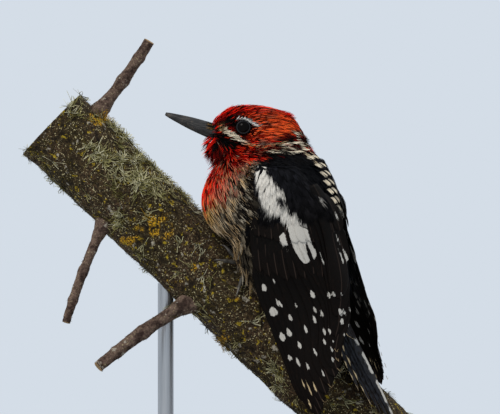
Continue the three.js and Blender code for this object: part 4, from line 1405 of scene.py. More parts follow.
class Plume:
    """Collects vanes into one mesh."""

    def __init__(self):
        self.points, self.faces, self.cells, self.count = [], [], [], 0
        self.kept = {"vane": [], "white": [], "buff": []}

    def add(self, place, marks, width, rows, thick=0.5, columns=8, outline=outline_blunt,
            lift=lambda t: 0 * t, tilt=0.0, seed=0.5, notch=0.0):
        t, c = pairs(np.linspace(0, 1, rows + 1), np.linspace(-1, 1, columns + 1))
        half = np.maximum(outline(t) * width / 2, 0.12)
        half = half * (1 + notch * np.sin(t * 37 + 9 * seed) * np.sin(t * 17 + 5 * seed))
        v = c * half
        shaft = 0.15 * np.exp(-(v / 0.3) ** 2) * (1 - t)
        crown = 0.22 * (1 - c * c) + shaft
        base = lift(t) + tilt * v
        body = thick * np.minimum(1, 0.3 + 3 * (1 - t)) * (0.25 + 0.75 * (1 - c * c))
        top, s, q = place(t, v, base + crown)
        under, _, _ = place(t, v, base + crown - body)
        white, buff = marks(s, q, t, c)
        self.faces.append(sewn_grid(rows + 1, columns + 1) + self.count)
        self.points += [top, under]
        vane = np.stack([v, t, np.full(len(t), seed)], 1)
        for name, values in (("vane", vane), ("white", white), ("buff", buff)):
            self.kept[name] += [values, values]
        self.cells += [np.stack([c, t], 1)] * 2
        self.count += 2 * len(t)

    def piece(self, name, material, slot, *replaced):
        made = outward_faces(make_mesh(name, np.vstack(self.points), np.vstack(self.faces)))
        store(made, **{name: np.concatenate(values) for name, values in self.kept.items()})
        self.atlas(made.data)
        dress(made, material, slot, *replaced)

    def atlas(self, mesh):
        """Gives each side of each vane a cell of its own on the flat atlas."""
        count = len(self.cells)
        columns = int(np.ceil(np.sqrt(count * 3)))
        rows = int(np.ceil(count / columns))
        spots = []
        for i, cell in enumerate(self.cells):
            x, y = i % columns, i // columns
            spots.append(np.stack([(x + 0.5 + 0.44 * cell[:, 0]) / columns,
                                   (y + 0.04 + 0.92 * cell[:, 1]) / rows], 1))
        store_atlas(mesh, np.vstack(spots))


# %% The finish of long feathers
def paint_vane(g, painted_sheen=0.0):
    vane = g.attribute("vane", "Vector")
    parts = g.node("ShaderNodeSeparateXYZ", None, {0: vane})
    across, down, seed = parts[0], parts[1], parts[2]
    barbs = g.streaks(vane, (0.9, 26.0, 50.0))
    fine = g.streaks(vane, (5.0, 60.0, 50.0), 1.0)
    ragged = (barbs - 0.5) * 2.0 + (fine - 0.5) * 1.0
    white = (g.attribute("white") + ragged).between(-0.1, 0.3)
    buff = (g.attribute("buff") + ragged * 0.5).between(-0.1, 0.3)
    rusty = barbs.between(0.5, 0.85) * 0.5 + down * 0.2
    ink = g.mix(rusty, (5, 4, 3), (27, 17, 12))
    ink = g.mix(fine.between(0.55, 0.85) * 0.16, ink, (34, 31, 31))
    # Bluish grey streaks in the vane's colour, in the share asked for: a painted sheen, the
    # sky's reflection.
    ink = g.mix(barbs.between(0.35, 0.6) * painted_sheen, ink, (52, 57, 65))
    shaft = across.size().between(0.28, 0.12)
    ink = g.mix(shaft * (0.3 + 0.4 * down), ink, (54, 43, 37))
    pale = g.mix(fine.between(0.3, 0.8) * 0.6, (186, 181, 172), (142, 139, 131))
    colour = g.mix(buff, ink, (190, 168, 130))
    colour = g.mix(white, colour, pale)
    height = (across * 9.0 - down * 160.0 + seed * 40.0).sine() * 0.2 + fine
    return {"Base Color": colour, "Roughness": 0.5 + 0.3 * barbs, "Bump": (height, 0.2, 0.0002)}


vane_finish = finish("long_feathers", paint_vane, Specular_IOR_Level=0.06)
# The tail's finish asks for bluish grey streaks of painted sheen in its colour.
tail_finish = finish("tail_feathers", lambda g: paint_vane(g, 0.32), Specular_IOR_Level=0.12)

# %% Lay the wings
FLIGHT_TIPS = {
    "left": [(-101, 0.06), (-107, 0.13), (-109, 0.21), (-106, 0.32), (-102, 0.43), (-99, 0.57),
             (-95.5, 0.71), (-92, 0.85), (-89, 0.93), (-84.5, 0.96), (-80, 0.97)],
    "right": [(-96, 0.08), (-102, 0.16), (-104, 0.25), (-102, 0.37), (-99, 0.5), (-96, 0.62),
              (-93, 0.75), (-90, 0.86), (-87, 0.93), (-84, 0.97), (-80, 0.98)],
}
TERTIAL_TIPS = [(-73, 0.92), (-64, 0.9), (-55, 0.88)]
# Rows of coverts: count, start along the body, reach, width, height over the flight feathers.
COVERT_ROWS = [(11, -3, 27, 6.5, 1.2), (12, 7, 20, 6, 1.5)]


def wing_place(side, root, tip):
    def place(t, v, h):
        s = root[0] + (tip[0] - root[0]) * t
        ease = t * t * (3 - 2 * t)
        q = root[1] + (tip[1] - root[1]) * ease
        lead, inner = (edge(s) for edge in WING_EDGES[side])
        q = q + v / np.maximum(16, np.linalg.norm(lead - inner, axis=1))
        return wing_sheet(side, s, q, h), s, q
    return place


EDGE_HEIGHT = 2.3
TIP_EDGES = [(337, 350), (338.5, 359), (340, 369), (331, 385), (325, 400)]
EDGE_SHAPE = np.array([(-3.2, -2.6), (-1.6, -0.4), (0, 1), (1.7, -0.5), (3.4, -2.6)])


def pale_edges(side):
    """Thin buff edges at some of the wing's feather tips."""
    q, s = pairs(np.linspace(0, 1.02, 103), np.linspace(-112, 0, 281))
    u, v = on_chart(wing_sheet("left", s, q, MARK_HEIGHT))
    here = wing_sheet(side, s, q, EDGE_HEIGHT)
    return np.array([[here[np.hypot(u - x - dx, v - y - dy).argmin()]
                      for dx, dy in EDGE_SHAPE] for x, y in TIP_EDGES])


def lay_wing(side):
    random = np.random.default_rng(7 if side == "left" else 8)
    plume = Plume()
    marks = lambda s, q, t, c: wing_marks(s, q)
    tips = FLIGHT_TIPS[side]
    for i, tip in enumerate(tips):
        share = i / (len(tips) - 1)
        plume.add(wing_place(side, (2 - 10 * share, 0.1 + 0.52 * share), tip), marks,
                  width=9 + 1.5 * share, rows=56, columns=12, thick=0.45, tilt=-WING_TILT,
                  lift=lambda t, k=share: 0.2 + (0.3 + 0.5 * k) * t, seed=random.random())
    for i, tip in enumerate(TERTIAL_TIPS):
        plume.add(wing_place(side, (-6 + 4 * i, 0.74 + 0.06 * i), tip), marks, width=10.5,
                  rows=40, columns=12, tilt=-WING_TILT, seed=random.random(),
                  lift=lambda t, k=i: 0.6 + (0.9 + 0.5 * k) * t)
    for count, start, reach, width, height in COVERT_ROWS:
        for i in range(count):
            share = i / (count - 1)
            q = 0.05 + 0.9 * share + 0.02 * (random.random() - 0.5)
            droop = 5 * np.sin(np.pi * share) + 2 * (random.random() - 0.5)
            s = start - 11 * q
            plume.add(wing_place(side, (s, q), (s - reach - droop, q + 0.03)), marks,
                      width=width * (0.95 + 0.2 * random.random()), rows=24, thick=0.35,
                      tilt=-WING_TILT * 0.6, seed=random.random(), notch=0.04,
                      lift=lambda t, k=height: (k + 0.9) * np.sqrt(t) - 0.9)
    plume.piece(f"wing_{side}_feathers", vane_finish, "plumage_black", f"wing_{side}")


tip_edges = Slivers()
for side in ("left", "right"):
    lay_wing(side)
    tip_edges.add(pale_edges(side), 0.14, np.tile(BUFF, (len(TIP_EDGES), 1)))
tip_edges.piece("tip_edges", "plumage_black")

# %% [markdown]
# The arm of the wing is a soft pad under small feathers. It is a closed grid on the sheet
# that sinks into the body at its borders, and the scatter graph covers it with a coat that
# hides the roots of the coverts and carries the upper part of the white patch.

# %% The wing's arm and its small feathers
ARM_FROM, ARM_TO = 21.0, -17.0
ARM_HEIGHT, ARM_SUNK, ARM_UNDER = 2.1, 2.3, -2.6
ARM_ROWS, ARM_COLUMNS = 46, 36


def arm_share(s, q):
    """0 at the arm's upper border and 1 at its lower one, which slants along the wing."""
    return (ARM_FROM - (s + 11 * q - 4)) / (ARM_FROM - ARM_TO)


def arm_place(side, s, q, above):
    """Points on the pad or above it. Its upper and inner borders sink into the body."""
    share = arm_share(s, q)
    rise = smooth(0, 0.22, q + 0.09) * smooth(1.03, 0.9, q) * smooth(-0.02, 0.14, share)
    rise = rise * (1 - 0.45 * smooth(0.7, 1, share))
    point = wing_sheet(side, s, q, above - ARM_SUNK + (ARM_HEIGHT + ARM_SUNK) * rise)
    shoulder = smooth(0.7, 0.95, q) * smooth(-12, 4, s)
    sunk = np.maximum.reduce([smooth(0.16, 0.0, share), smooth(0.93, 1.03, q), shoulder])
    return point + sunk[:, None] * (settle(point, above - 1.9) - point)


def arm_atlas(s, q):
    return np.stack([(q + 0.1) / 1.2, (30 - s) / 70], 1)


def soft_wing(side):
    share, q = pairs(np.linspace(0, 1, ARM_ROWS), np.linspace(-0.09, 1.03, ARM_COLUMNS))
    s = ARM_FROM + (ARM_TO - ARM_FROM) * share - 11 * q + 4
    top = arm_place(side, s, q, 0)
    lie = unit(wing_sheet(side, s - 1, q, 0) - wing_sheet(side, s, q, 0))
    under = wing_sheet(side, s, q, ARM_UNDER)
    sunk = smooth(0.2, 0.0, arm_share(s, q))[:, None]
    under = under + sunk * (settle(under, ARM_UNDER) - under)
    faces = sewn_grid(ARM_ROWS, ARM_COLUMNS)
    pad = outward_faces(make_mesh(f"wing_{side}_arm", np.vstack([top, under]), faces))
    store(pad, tint=np.tile(linear(10, 10, 12), (2 * len(s), 1)))
    cell = arm_atlas(s, q) * [0.48, 1]
    store_atlas(pad.data, np.vstack([cell, cell + [0.5, 0]]))
    dress(pad, coat_finish, "plumage_black")

    surface = make_mesh("surface", top, faces[:(ARM_ROWS - 1) * (ARM_COLUMNS - 1)])
    normals = np.array([normal.vector[:] for normal in surface.data.vertex_normals])
    if (outward(top) * normals).sum() < 0:
        surface.data.flip_normals()
    share = arm_share(s, q)
    fade = smooth(1.0, 0.8, share + 0.5 * grain(top, 3.0, 71))
    store(surface, free=smooth(-0.06, 0.02, q) * fade, s=s, q=q, long=6.0 + 3.5 * share,
          wide=np.full(len(s), 2.3), lift=0 * s, lie=lie)
    coat = Growth(surface, body_graph, 0.5, 21)
    bpy.data.objects.remove(surface)
    offset = coat.points - coat.root
    way = stored(coat.mesh, "lie", 3)
    s_here = stored(coat.mesh, "s") - (offset * way).sum(1)
    lead, inner = (edge(s_here) for edge in WING_EDGES[side])
    inwards = unit(trunk_point(*(inner - lead)[:, ::-1].T, 0 * s_here))
    q_here = stored(coat.mesh, "q") + (offset * inwards).sum(1) / np.maximum(
        16, np.linalg.norm(lead - inner, axis=1))
    lift = (0.3 + 0.9 * layer_of(coat.number)) * coat.tip - 0.3 * (1 - coat.tip)
    coat.points = arm_place(side, s_here, q_here, lift + coat.blade[:, 2])
    jitter = 1.6 * (pick(coat.number, 3) - 0.5), 0.03 * (pick(coat.strand, 5) - 0.5)
    white, _ = wing_marks(s_here + jitter[0], q_here + jitter[1])
    black = blend(np.tile(linear(34, 35, 41), (len(s_here), 1)), linear(24, 21, 20),
                  arm_share(s_here, q_here))
    black = black * (0.1 + 0.6 * pick(coat.number, 5))[:, None]
    chalk = linear(214, 208, 198) * (0.86 + 0.14 * coat.strand)[:, None]
    tint = blend(black, chalk, smooth(-0.25, 0.15, white))
    at = arm_atlas(stored(coat.mesh, "s"), stored(coat.mesh, "q"))
    coat.piece(f"coat_wing_{side}", coat_finish, "plumage_black", at, tint)


for side in ("left", "right"):
    soft_wing(side)

# %% [markdown]
# ## The tail
# Five pairs of stiff pointed feathers brace a woodpecker against the trunk. The middle pair
# is longest and carries white on its inner webs. They lie as a shallow roof.

# %% Lay the tail
TAIL_LENGTH = 75
TAIL_BASE = trunk_point(0, 14.5, -50)
TAIL_TIP = np.array([62.7, 4.2, -106.7])
TAIL_ROOF = 0.42
tail_along = unit(TAIL_TIP - TAIL_BASE)
tail_side = unit(LEFT - LEFT @ tail_along * tail_along)
tail_up = np.cross(tail_along, tail_side)
tail_up = tail_up * np.sign(tail_up @ BACK)


def tail_place(length, offset):
    def place(t, v, h):
        run = -2 + (length + 2) * t
        across = offset(t) + v
        curl = 3 * np.maximum(0, run / TAIL_LENGTH) ** 2
        up = h + 2 - curl - TAIL_ROOF * np.sqrt(across**2 + 4)
        point = (TAIL_BASE + np.outer(run, tail_along) + np.outer(across, tail_side)
                 + np.outer(up, tail_up))
        return point, run, across
    return place


def tail_marks(pair, sign):
    def marks(s, q, t, c):
        nothing = np.full(len(t), -9.0)
        buff = -0.8 + 1.1 * np.abs(c) ** 3 - 0.4 * np.sin(t * 50) * (pair > 0)
        if pair == 0:
            inner = -c * sign
            return (inner + 0.1) * 3 - 2.2 * (np.sin(t * 30) > 0.8), nothing
        return nothing, np.where(pair > 2, buff, nothing)
    return marks


tail = Plume()
random = np.random.default_rng(4)
for pair in (4, 3, 2, 1, 0):
    for sign in (-1, 1):
        length = TAIL_LENGTH - (0, 2, 7, 14, 24)[pair]
        tail.add(tail_place(length, lambda t, k=pair, g=sign: g * (1 + k * (0.5 + 1.9 * t))),
                 tail_marks(pair, sign), width=7.5 - 0.5 * pair, rows=48, columns=12,
                 outline=outline_pointed, lift=lambda t, k=pair: -0.62 * k + 0 * t,
                 seed=random.random(), notch=0.03)
for i in range(9):
    share = i / 8
    length = 20 + 9 * np.sin(np.pi * share)
    tail.add(tail_place(length, lambda t, k=share: (k - 0.5) * 11 + 0 * t),
             lambda s, q, t, c: (np.full(len(t), -9.0), 1.2 * np.abs(c) ** 2 - 0.9),
             width=5, rows=16, columns=6, lift=lambda t: 1.2 - 1.0 * t, seed=random.random())
tail.piece("tail_feathers", tail_finish, "plumage_black", "tail")

# %% [markdown]
# ## Bill
# The bill is a straight chisel: a ridged upper half and a lower half, split by the mouth.
# Both are lofted through rings whose width and height follow the solids.

# %% Loft the bill
def pointed_rings(rows, columns):
    """Faces of rings that are closed by one point at each end. The two points come last."""
    faces = quads_of(rows, columns, wrap=True).tolist()
    end, last = rows * columns, (rows - 1) * columns
    for i in range(columns):
        j = (i + 1) % columns
        faces += [[end, j, i], [end + 1, last + i, last + j]]
    return faces


def tube(path, radius, up, sides=14):
    """Rings round a path; radius holds the across and upright radii of each ring."""
    along = unit(np.gradient(path, axis=0))
    side = unit(np.cross(up, along))
    high = np.cross(along, side)
    angle = around(sides)
    ring = (path[:, None] + np.cos(angle)[None, :, None] * side[:, None] * radius[:, :1, None]
            + np.sin(angle)[None, :, None] * high[:, None] * radius[:, 1:, None])
    points = np.vstack([ring.reshape(-1, 3), path[:1], path[-1:]])
    return points, pointed_rings(len(path), sides)


BILL_TIP = np.array([-52.75, 0, 44.75])
BILL_AXES = pitched(20.3)
BILL_REACH = 32.0
bill_shape = track([[0, 4.2, 4.6], [0.25, 3.3, 3.7], [0.55, 2.5, 2.95], [0.8, 1.5, 1.9],
                    [0.95, 0.75, 1.1], [1, 0.45, 0.7]])


def mandible(name, upper):
    t = np.linspace(0.08, 1, 44)
    angle = np.linspace(0, np.pi, 22)
    wide, tall = bill_shape(t).T
    row, aa = pairs(np.arange(len(t)), angle)
    sign = 1 if upper else -1
    ridge = 1 + 0.05 * np.cos(4 * aa) + 0.03 * np.exp(-((aa - np.pi / 2) / 0.25) ** 2)
    groove = 0.5 * np.exp(-((np.abs(aa - np.pi / 2) - 0.95) / 0.16) ** 2)
    groove = groove * smooth(0.62, 0.3, t[row])
    y = np.cos(aa) * wide[row] * ridge * (1 - 0.1 * groove)
    z = sign * (np.sin(aa) * tall[row] * ridge * (1 - 0.1 * groove))
    along = (t[row] - 1) * BILL_REACH
    ring = (BILL_TIP + along[..., None] * BILL_AXES[0] + y[..., None] * BILL_AXES[1]
            + (z[..., None] - 0.15) * BILL_AXES[2])
    columns = len(angle)
    faces = quads_of(len(t), columns, wrap=True).tolist()
    faces += [list(range(columns)), list(range((len(t) - 1) * columns, len(t) * columns))]
    return outward_faces(make_mesh(name, ring, faces))


def paint_bill(g):
    stripes = g.streaks(g.place, (90.0, 900.0, 900.0), 3.0)
    worn = g.noise(260.0, 3.0)
    colour = g.mix(stripes.between(0.35, 0.7), (18, 17, 17), (48, 46, 44))
    colour = g.mix(worn.between(0.52, 0.74) * 0.5, colour, (92, 82, 70))
    return {"Base Color": colour, "Roughness": 0.32 + 0.25 * worn,
            "Bump": (stripes, 0.25, 0.0002)}


bill_finish = finish("bill_horn", paint_bill, Specular_IOR_Level=0.35)
dress(mandible("bill_top", True), bill_finish, "bill_horn", "bill_upper")
dress(mandible("bill_bottom", False), bill_finish, "bill_horn", "bill_lower")

# %% [markdown]
# ## Eyes
# A museum bird has glass eyes: a dark ball that shines, in a lid ring of small grey beads.

# %% Eyes and lids
LID_RADIUS, LID_BEADS = 3.2, 24
LID_STEPS, LID_SIDES = 72, 8


def ball_points(rows=24, columns=36):
    """A ball of radius 1 whose poles point to the sides."""
    a, b = pairs(np.linspace(0, np.pi, rows + 1)[1:-1], around(columns))
    ring = np.stack([np.sin(a) * np.cos(b), np.cos(a), np.sin(a) * np.sin(b)], -1)
    return np.vstack([ring, [[0, 1, 0], [0, -1, 0]]]), pointed_rings(rows - 1, columns)


def grainy(scale, detail, dark, light, rough, vary, bump=0.0):
    """Paints with one noise between two colours, which also varies roughness and bump."""
    def paint(g):
        tone = g.noise(scale, detail)
        varied = {"Base Color": g.mix(tone, dark, light), "Roughness": rough + vary * tone}
        if bump:
            varied["Bump"] = (tone, bump, 0.0002)
        return varied
    return paint


eye_finish = finish("glass_eye", grainy(700, 2, (5, 4, 4), (12, 9, 8), 0.02, 0.02),
                    Specular_IOR_Level=0.0, Coat_Weight=0.1, Coat_Roughness=0.02)
lid_finish = finish("lid_skin", grainy(1500, 2, (10, 10, 11), (34, 35, 38), 0.5, 0.2, 0.3),
                    Specular_IOR_Level=0.15)
for side, centre in EYES.items():
    sign = -1 if side == "left" else 1
    points, faces = ball_points()
    eye = make_mesh(f"eye_{side}_ball", centre + EYE_RADIUS * points, faces)
    dress(eye, eye_finish, "eye_glass", f"eye_{side}")
    turn, roll = pairs(around(LID_STEPS), around(LID_SIDES))
    bead = 0.40 + 0.06 * np.cos(turn * LID_BEADS)
    ring = LID_RADIUS + bead * np.cos(roll)
    lid_points = np.stack([ring * np.cos(turn), sign * (2.45 + bead * np.sin(roll)),
                           0.94 * ring * np.sin(turn)], 1)
    lid_faces = quads_of(LID_STEPS + 1, LID_SIDES, wrap=True) % (LID_STEPS * LID_SIDES)
    lid = make_mesh(f"lid_{side}", centre + lid_points, lid_faces)
    dress(lid, lid_finish, "plumage_black")

# %% [markdown]
# ## Feet
# Two toes point forwards and two back, each with a row of overlapping scutes and a curved
# claw. Each is a bent tube whose radius steps at every scute.

# %% Toes, shanks and claws
# Each foot: its place along the branch and round it in degrees, and the hip.
FEET = {"left": (24, 45, trunk_point(10, -12, -30)),
        "right": (24, -2, trunk_point(-10, -12, -30))}
TOE_OUT = 1.7
CLAW_LENGTH = 5.2
TOES = {
    "left": [[(-6, 1), (-12, 0)], [(-6, 6), (-10.5, 16)], [(1, 11), (4, 29)], [(5, 2), (9, 8)]],
    "right": [[(-6, 1), (-12, 0)], [(-6, -7), (-10, -20)], [(1, -11), (4, -29)],
              [(5, -2), (9, -8)]],
}


def through(stops, count):
    stops = np.array(stops)
    run = np.concatenate([[0], np.cumsum(np.linalg.norm(np.diff(stops, axis=0), axis=1))])
    curve = track(np.column_stack([run, stops]))
    return curve(np.linspace(0, run[-1], count))


def toe_stops(side, toe):
    along, degrees, _ = FEET[side]
    stops = [(0, 0), *TOES[side][toe]]
    return [branch_point(along + a, degrees + d, BRANCH_RADIUS + TOE_OUT) for a, d in stops]


def leg_parts(side):
    along, degrees, hip = FEET[side]
    parts = []
    for toe in range(4):
        stops = toe_stops(side, toe)
        path = through(stops, 40)
        t = np.linspace(0, 1, 40)
        scute = 0.07 * (1 - (t * 9 % 1))
        radius = 1.2 - 0.28 * t + 0.12 * np.cos(6 * np.pi * t) + scute
        radii = np.stack([radius * 0.95, radius], 1)
        parts.append(tube(path, radii, unit(stops[0] - BRANCH_AT)))
    pad = branch_point(along, degrees, BRANCH_RADIUS + TOE_OUT)
    heel = pad + 0.6 * (hip - pad)
    t = np.linspace(0, 1, 40)
    radius = 1.3 + 0.25 * np.abs(2 * t - 1) ** 3 + 0.06 * (1 - (t * 8 % 1))
    parts.append(tube(pad + np.outer(t, heel - pad), np.stack([radius, radius], 1), AXIS))
    return parts


def claw_parts(side, toe):
    stops = np.array(toe_stops(side, toe))
    along = unit(stops[2] - stops[1])
    root = stops[2] + along * 0.2
    axis = BRANCH_AT + (root - BRANCH_AT) @ ALONG * ALONG
    out = unit(root - axis)
    reach = root + along * CLAW_LENGTH
    spot = reach - axis
    tip = axis + unit(spot) * (BRANCH_RADIUS + 0.6) + ALONG * (spot @ ALONG) * 0.1
    t = np.linspace(0, 1, 24)[:, None]
    b, c = root + along * 1.6 + out * 0.3, root + along * 4.2 + out * 0.9
    path = ((1 - t) ** 3 * root + 3 * (1 - t) ** 2 * t * b + 3 * (1 - t) * t**2 * c + t**3 * tip)
    shrink = 1 - 0.86 * t[:, 0]
    return tube(path, np.stack([0.7 * shrink, 0.95 * shrink], 1), out, sides=12)


foot_finish = finish("foot_scale", grainy(700, 2, (32, 30, 27), (72, 67, 58), 0.55, 0.2, 0.4))
claw_finish = finish("claw_horn", grainy(500, 3, (34, 31, 29), (108, 101, 92), 0.3, 0.2))
for side in ("left", "right"):
    leg = make_mesh(f"leg_{side}_scaled", *gather(leg_parts(side)))
    dress(leg, foot_finish, "foot_scale", f"leg_{side}")
    for toe in range(4):
        claw = make_mesh(f"claw_{side}_{toe + 1}_horn", *claw_parts(side, toe))
        dress(claw, claw_finish, "claw_horn", f"claw_{side}_{toe + 1}")

# %% [markdown]
# ## The branch
# Old bark is rough at every scale: broad swellings, cracks, and grit. A dense tube is
# pushed in and out by noise of four sizes; colour and fine bump come from the finish. Its
# sawn ends are separate rings, so that bark and wood meet at a sharp edge.

# %% Bark
BRANCH_ENDS = (-97, 142)
TWIGS = [(-84, 10, (0.59, -0.12, 0.8), 44, 3.4), (16, 148, (-0.8, -0.28, -0.56), 56, 3.7),
         (-44, 160, (-0.36, -0.2, -0.93), 52, 2.7)]


def bark_relief(points):
    cracks = grain(points, 5.5, 21)
    return (0.45 * grain(points, 9, 20) + 0.5 * np.abs(cracks) - 0.3
            + 0.3 * grain(points, 2.4, 22) + 0.22 * grain(points, 1.1, 23))


def capped(rings, path):
    """A closed tube of rings, with its ends sawn flat: points, faces, and 1 on the wood."""
    rows, columns, _ = rings.shape
    core = [path[end] + (rings[end] - path[end]) * share
            for end in (0, -1) for share in (1.0, 0.6, 0.25)]
    points = np.vstack([rings.reshape(-1, 3), *core, path[:1], path[-1:]])
    faces = quads_of(rows, columns, wrap=True).tolist()
    start, middle = rows * columns, rows * columns + 6 * columns
    for end in (0, 1):
        base = start + 3 * columns * end
        faces += (quads_of(3, columns, wrap=True) + base).tolist()
        inner = base + 2 * columns
        faces += [[middle + end, inner + i, inner + (i + 1) % columns] for i in range(columns)]
    rim = [(0, start), ((rows - 1) * columns, start + 3 * columns)]
    for bark_edge, wood_edge in rim:
        faces += [[bark_edge + i, bark_edge + (i + 1) % columns, wood_edge + (i + 1) % columns,
                   wood_edge + i] for i in range(columns)]
    wood = np.zeros(len(points))
    wood[start:] = 1
    return points, faces, wood


def branch_tube(rows=400, columns=210):
    s, angle = pairs(np.linspace(*BRANCH_ENDS, rows), around(columns))
    ridges = (0.35 * np.sin(3 * angle + 0.07 * s) + 0.3 * np.sin(5 * angle - 0.11 * s)
              + 0.3 * np.sin(0.16 * s + 2 * angle))
    radius = BRANCH_RADIUS - 0.9 - 0.006 * (s - 20) + ridges
    ray = np.cos(angle)[:, None] * ABOVE + np.sin(angle)[:, None] * NEAR
    middle = BRANCH_AT + s[:, None] * ALONG
    points = middle + ray * radius[:, None]
    points = points + ray * (0.75 * bark_relief(points))[:, None]
    return capped(points.reshape(rows, columns, 3), middle.reshape(rows, columns, 3)[:, 0])


def twig_tube(along, degrees, toward, length, radius, rows=110, columns=40):
    foot = branch_point(along, degrees, BRANCH_RADIUS - 5)
    way = unit(np.array(toward))
    bow = np.array([way[2], 0, -way[0]]) * length * 0.05
    t = np.linspace(0, 1, rows)[:, None]
    middle, end = foot + way * (length / 2 + 2) + bow, foot + way * (length + 5)
    path = (1 - t) ** 2 * foot + 2 * (1 - t) * t * middle + t**2 * end
    knots = 0.5 * np.exp(-((t[:, 0] - 0.52) / 0.05) ** 2) + 0.4 * np.exp(
        -((t[:, 0] - 0.8) / 0.03) ** 2)
    size = radius * (1.0 - 0.2 * t[:, 0]) + 2.4 * np.exp(-((t[:, 0] * length) ** 2) / 60) + knots
    points, _ = tube(path, np.stack([size, size], 1), np.array([0, 1.0, 0]), sides=columns)
    rings = points[:-2].reshape(rows, columns, 3)
    ray = unit(rings - path[:, None])
    relief = 0.5 * bark_relief(1.3 * rings.reshape(-1, 3)).reshape(rows, columns, 1)
    return capped(rings + ray * relief, path)


tubes = [branch_tube(), *(twig_tube(*t) for t in TWIGS)]
branch = outward_faces(make_mesh("branch_bark", *gather([t[:2] for t in tubes])))
store(branch, wood=np.concatenate([t[2] for t in tubes]), twig=np.concatenate(
    [np.full(len(t[0]), min(i, 1)) for i, t in enumerate(tubes)]))
bark_points = places(branch.data)
bark_chart = on_chart(bark_points)

# %% Where things grow on the bark
LICHEN_PATCHES = [((165, 187), (30, 20)), ((128, 188), (26, 30)), ((106, 150), (36, 26)),
                  ((60, 90), (34, 24)), ((216, 345), (18, 14)), ((285, 385), (26, 22)),
                  ((190, 205), (14, 14)), ((112, 215), (16, 22))]
CRUST_PATCHES = [((154, 224), (18, 13)), ((130, 242), (12, 6)), ((214, 343), (16, 10)),
                 ((180, 352), (14, 7)), ((100, 118), (12, 7)), ((196, 268), (6, 4)),
                 ((236, 300), (7, 4)), ((176, 282), (8, 4))]
ray, _ = branch_ray(bark_points)
skyward = (ray @ np.array([0, -0.25, 1.0])).clip(-1, 1)
clear_of_bird = smooth(6, 14, depth(bark_points))
sawn, on_twig = stored(branch.data, "wood") > 0.5, stored(branch.data, "twig")
clumps = grain(bark_points, 4.2, 30)
lichen_growth = ovals(*bark_chart, LICHEN_PATCHES) + 0.5 * grain(bark_points, 12, 31)
lichen_growth = lichen_growth + 0.35 * skyward - 0.25
lichen_cover = smooth(-0.1, 0.4, lichen_growth) * smooth(0.14, 0.3, clumps)
lichen_cover = lichen_cover + 0.12 * smooth(0.3, 0.5, clumps) * (1 - 0.8 * on_twig)
crust_growth = ovals(*bark_chart, CRUST_PATCHES) + 0.9 * grain(bark_points, 2.6, 35)
store(branch, crust=smooth(0.1, 0.6, crust_growth))


def paint_bark(g):
    zone = g.noise(60.0, 4.0)
    hollow = g.noise(230.0, 4.0, roughness=0.65)
    grit = g.noise(800.0, 4.0, roughness=0.7)
    spots = g.noise(1300.0, 2.0)
    twig = g.attribute("twig")
    colour = g.mix(zone.between(0.36, 0.64), (77, 60, 42), (60, 50, 27))
    # On the twigs the colour runs from dark in the hollows of the bump to light on its rises:
    # painted shade.
    smooth_twig = g.mix(hollow.between(0.35, 0.6), (66, 50, 44), (112, 92, 80))
    colour = g.mix(twig, colour, smooth_twig)
    # Dark specks in the fine pits of the bump: partly the bark's own dark grit, partly painted
    # shade.
    colour = g.mix(grit.between(0.6, 0.42) * (0.9 - 0.5 * twig), colour, (30, 24, 16))
    # Near black in the broad hollows of the bump: painted shade.
    colour = g.mix(hollow.between(0.48, 0.3) * (0.85 - 0.5 * twig), colour, (16, 12, 8))
    colour = g.mix(spots.between(0.6, 0.66) * hollow.between(0.42, 0.56) * (0.95 - 0.6 * twig),
                   colour, (196, 184, 140))
    crust = g.attribute("crust") * spots.between(0.46, 0.56) * hollow.between(0.36, 0.5)
    colour = g.mix(crust, colour, (188, 142, 26))
    mustard = g.noise(380.0, 2.0).between(0.62, 0.66) * grit.between(0.42, 0.56)
    colour = g.mix(mustard * (1 - twig), colour, (150, 128, 34))
    ash = g.noise(210.0, 3.0).between(0.63, 0.68) * grit.between(0.36, 0.52)
    colour = g.mix(ash * 0.75, colour, (166, 158, 142))
    rings = g.streaks(g.place, (900.0, 900.0, 900.0))
    timber = g.mix(rings, (176, 148, 108), (128, 98, 66))
    colour = g.mix(g.attribute("wood"), colour, timber)
    return {"Base Color": colour, "Roughness": 0.85 + 0.1 * grit,
            "Bump": (grit + hollow * 1.5 + spots * 0.4, 0.9, 0.0009)}


bark_finish = finish("bark", paint_bark, Specular_IOR_Level=0.12)
dress(branch, bark_finish, "bark", "perch_branch")

# %% [markdown]
# Shrubby lichen grows in tufts of a few curling fronds, and moss as short blades. One tuft
# of few faces for each is scattered by a graph like the coat's, where noise gathers them
# in clumps.

# %% Lichen and moss
def sprig(name, count, thick, spread, rows, seed):
    """A tuft of bent, three-sided fronds."""
    random = np.random.default_rng(seed)
    parts, strands, runs = [], [], []
    t = np.linspace(0, 1, rows)
    for i in range(count):
        a = 2 * np.pi * (i + 0.9 * random.random()) / count
        way = np.array([spread * np.cos(a), spread * np.sin(a), 0.3 + 1.1 * random.random()])
        bend = unit(random.normal(size=3) + [0, 0, -0.2])
        long = 0.45 + 0.6 * random.random()
        path = np.outer(t, unit(way)) * long + np.outer(t**2, bend) * long * 1.2
        radius = thick * (1.1 - 0.6 * t)
        part = tube(path, np.stack([radius, radius * 0.6], 1), unit(np.cross(way, bend)), 3)
        parts.append(part)
        strands += [random.random()] * len(part[0])
        runs += [*np.repeat(t, 3), 0.0, 1.0]
    return small_part(name, *gather(parts), strands, runs)


growth_finish = finish("lichen_and_moss", tinted(1200, 0.75, 0.8, 0.1), Specular_IOR_Level=0.1)
LICHEN_TONES = [linear(208, 202, 154), linear(156, 150, 92), linear(230, 224, 186),
                linear(108, 98, 50), linear(182, 174, 120)]
MOSS_TONES = [linear(84, 78, 34), linear(112, 100, 48), linear(58, 50, 26), linear(138, 120, 58)]


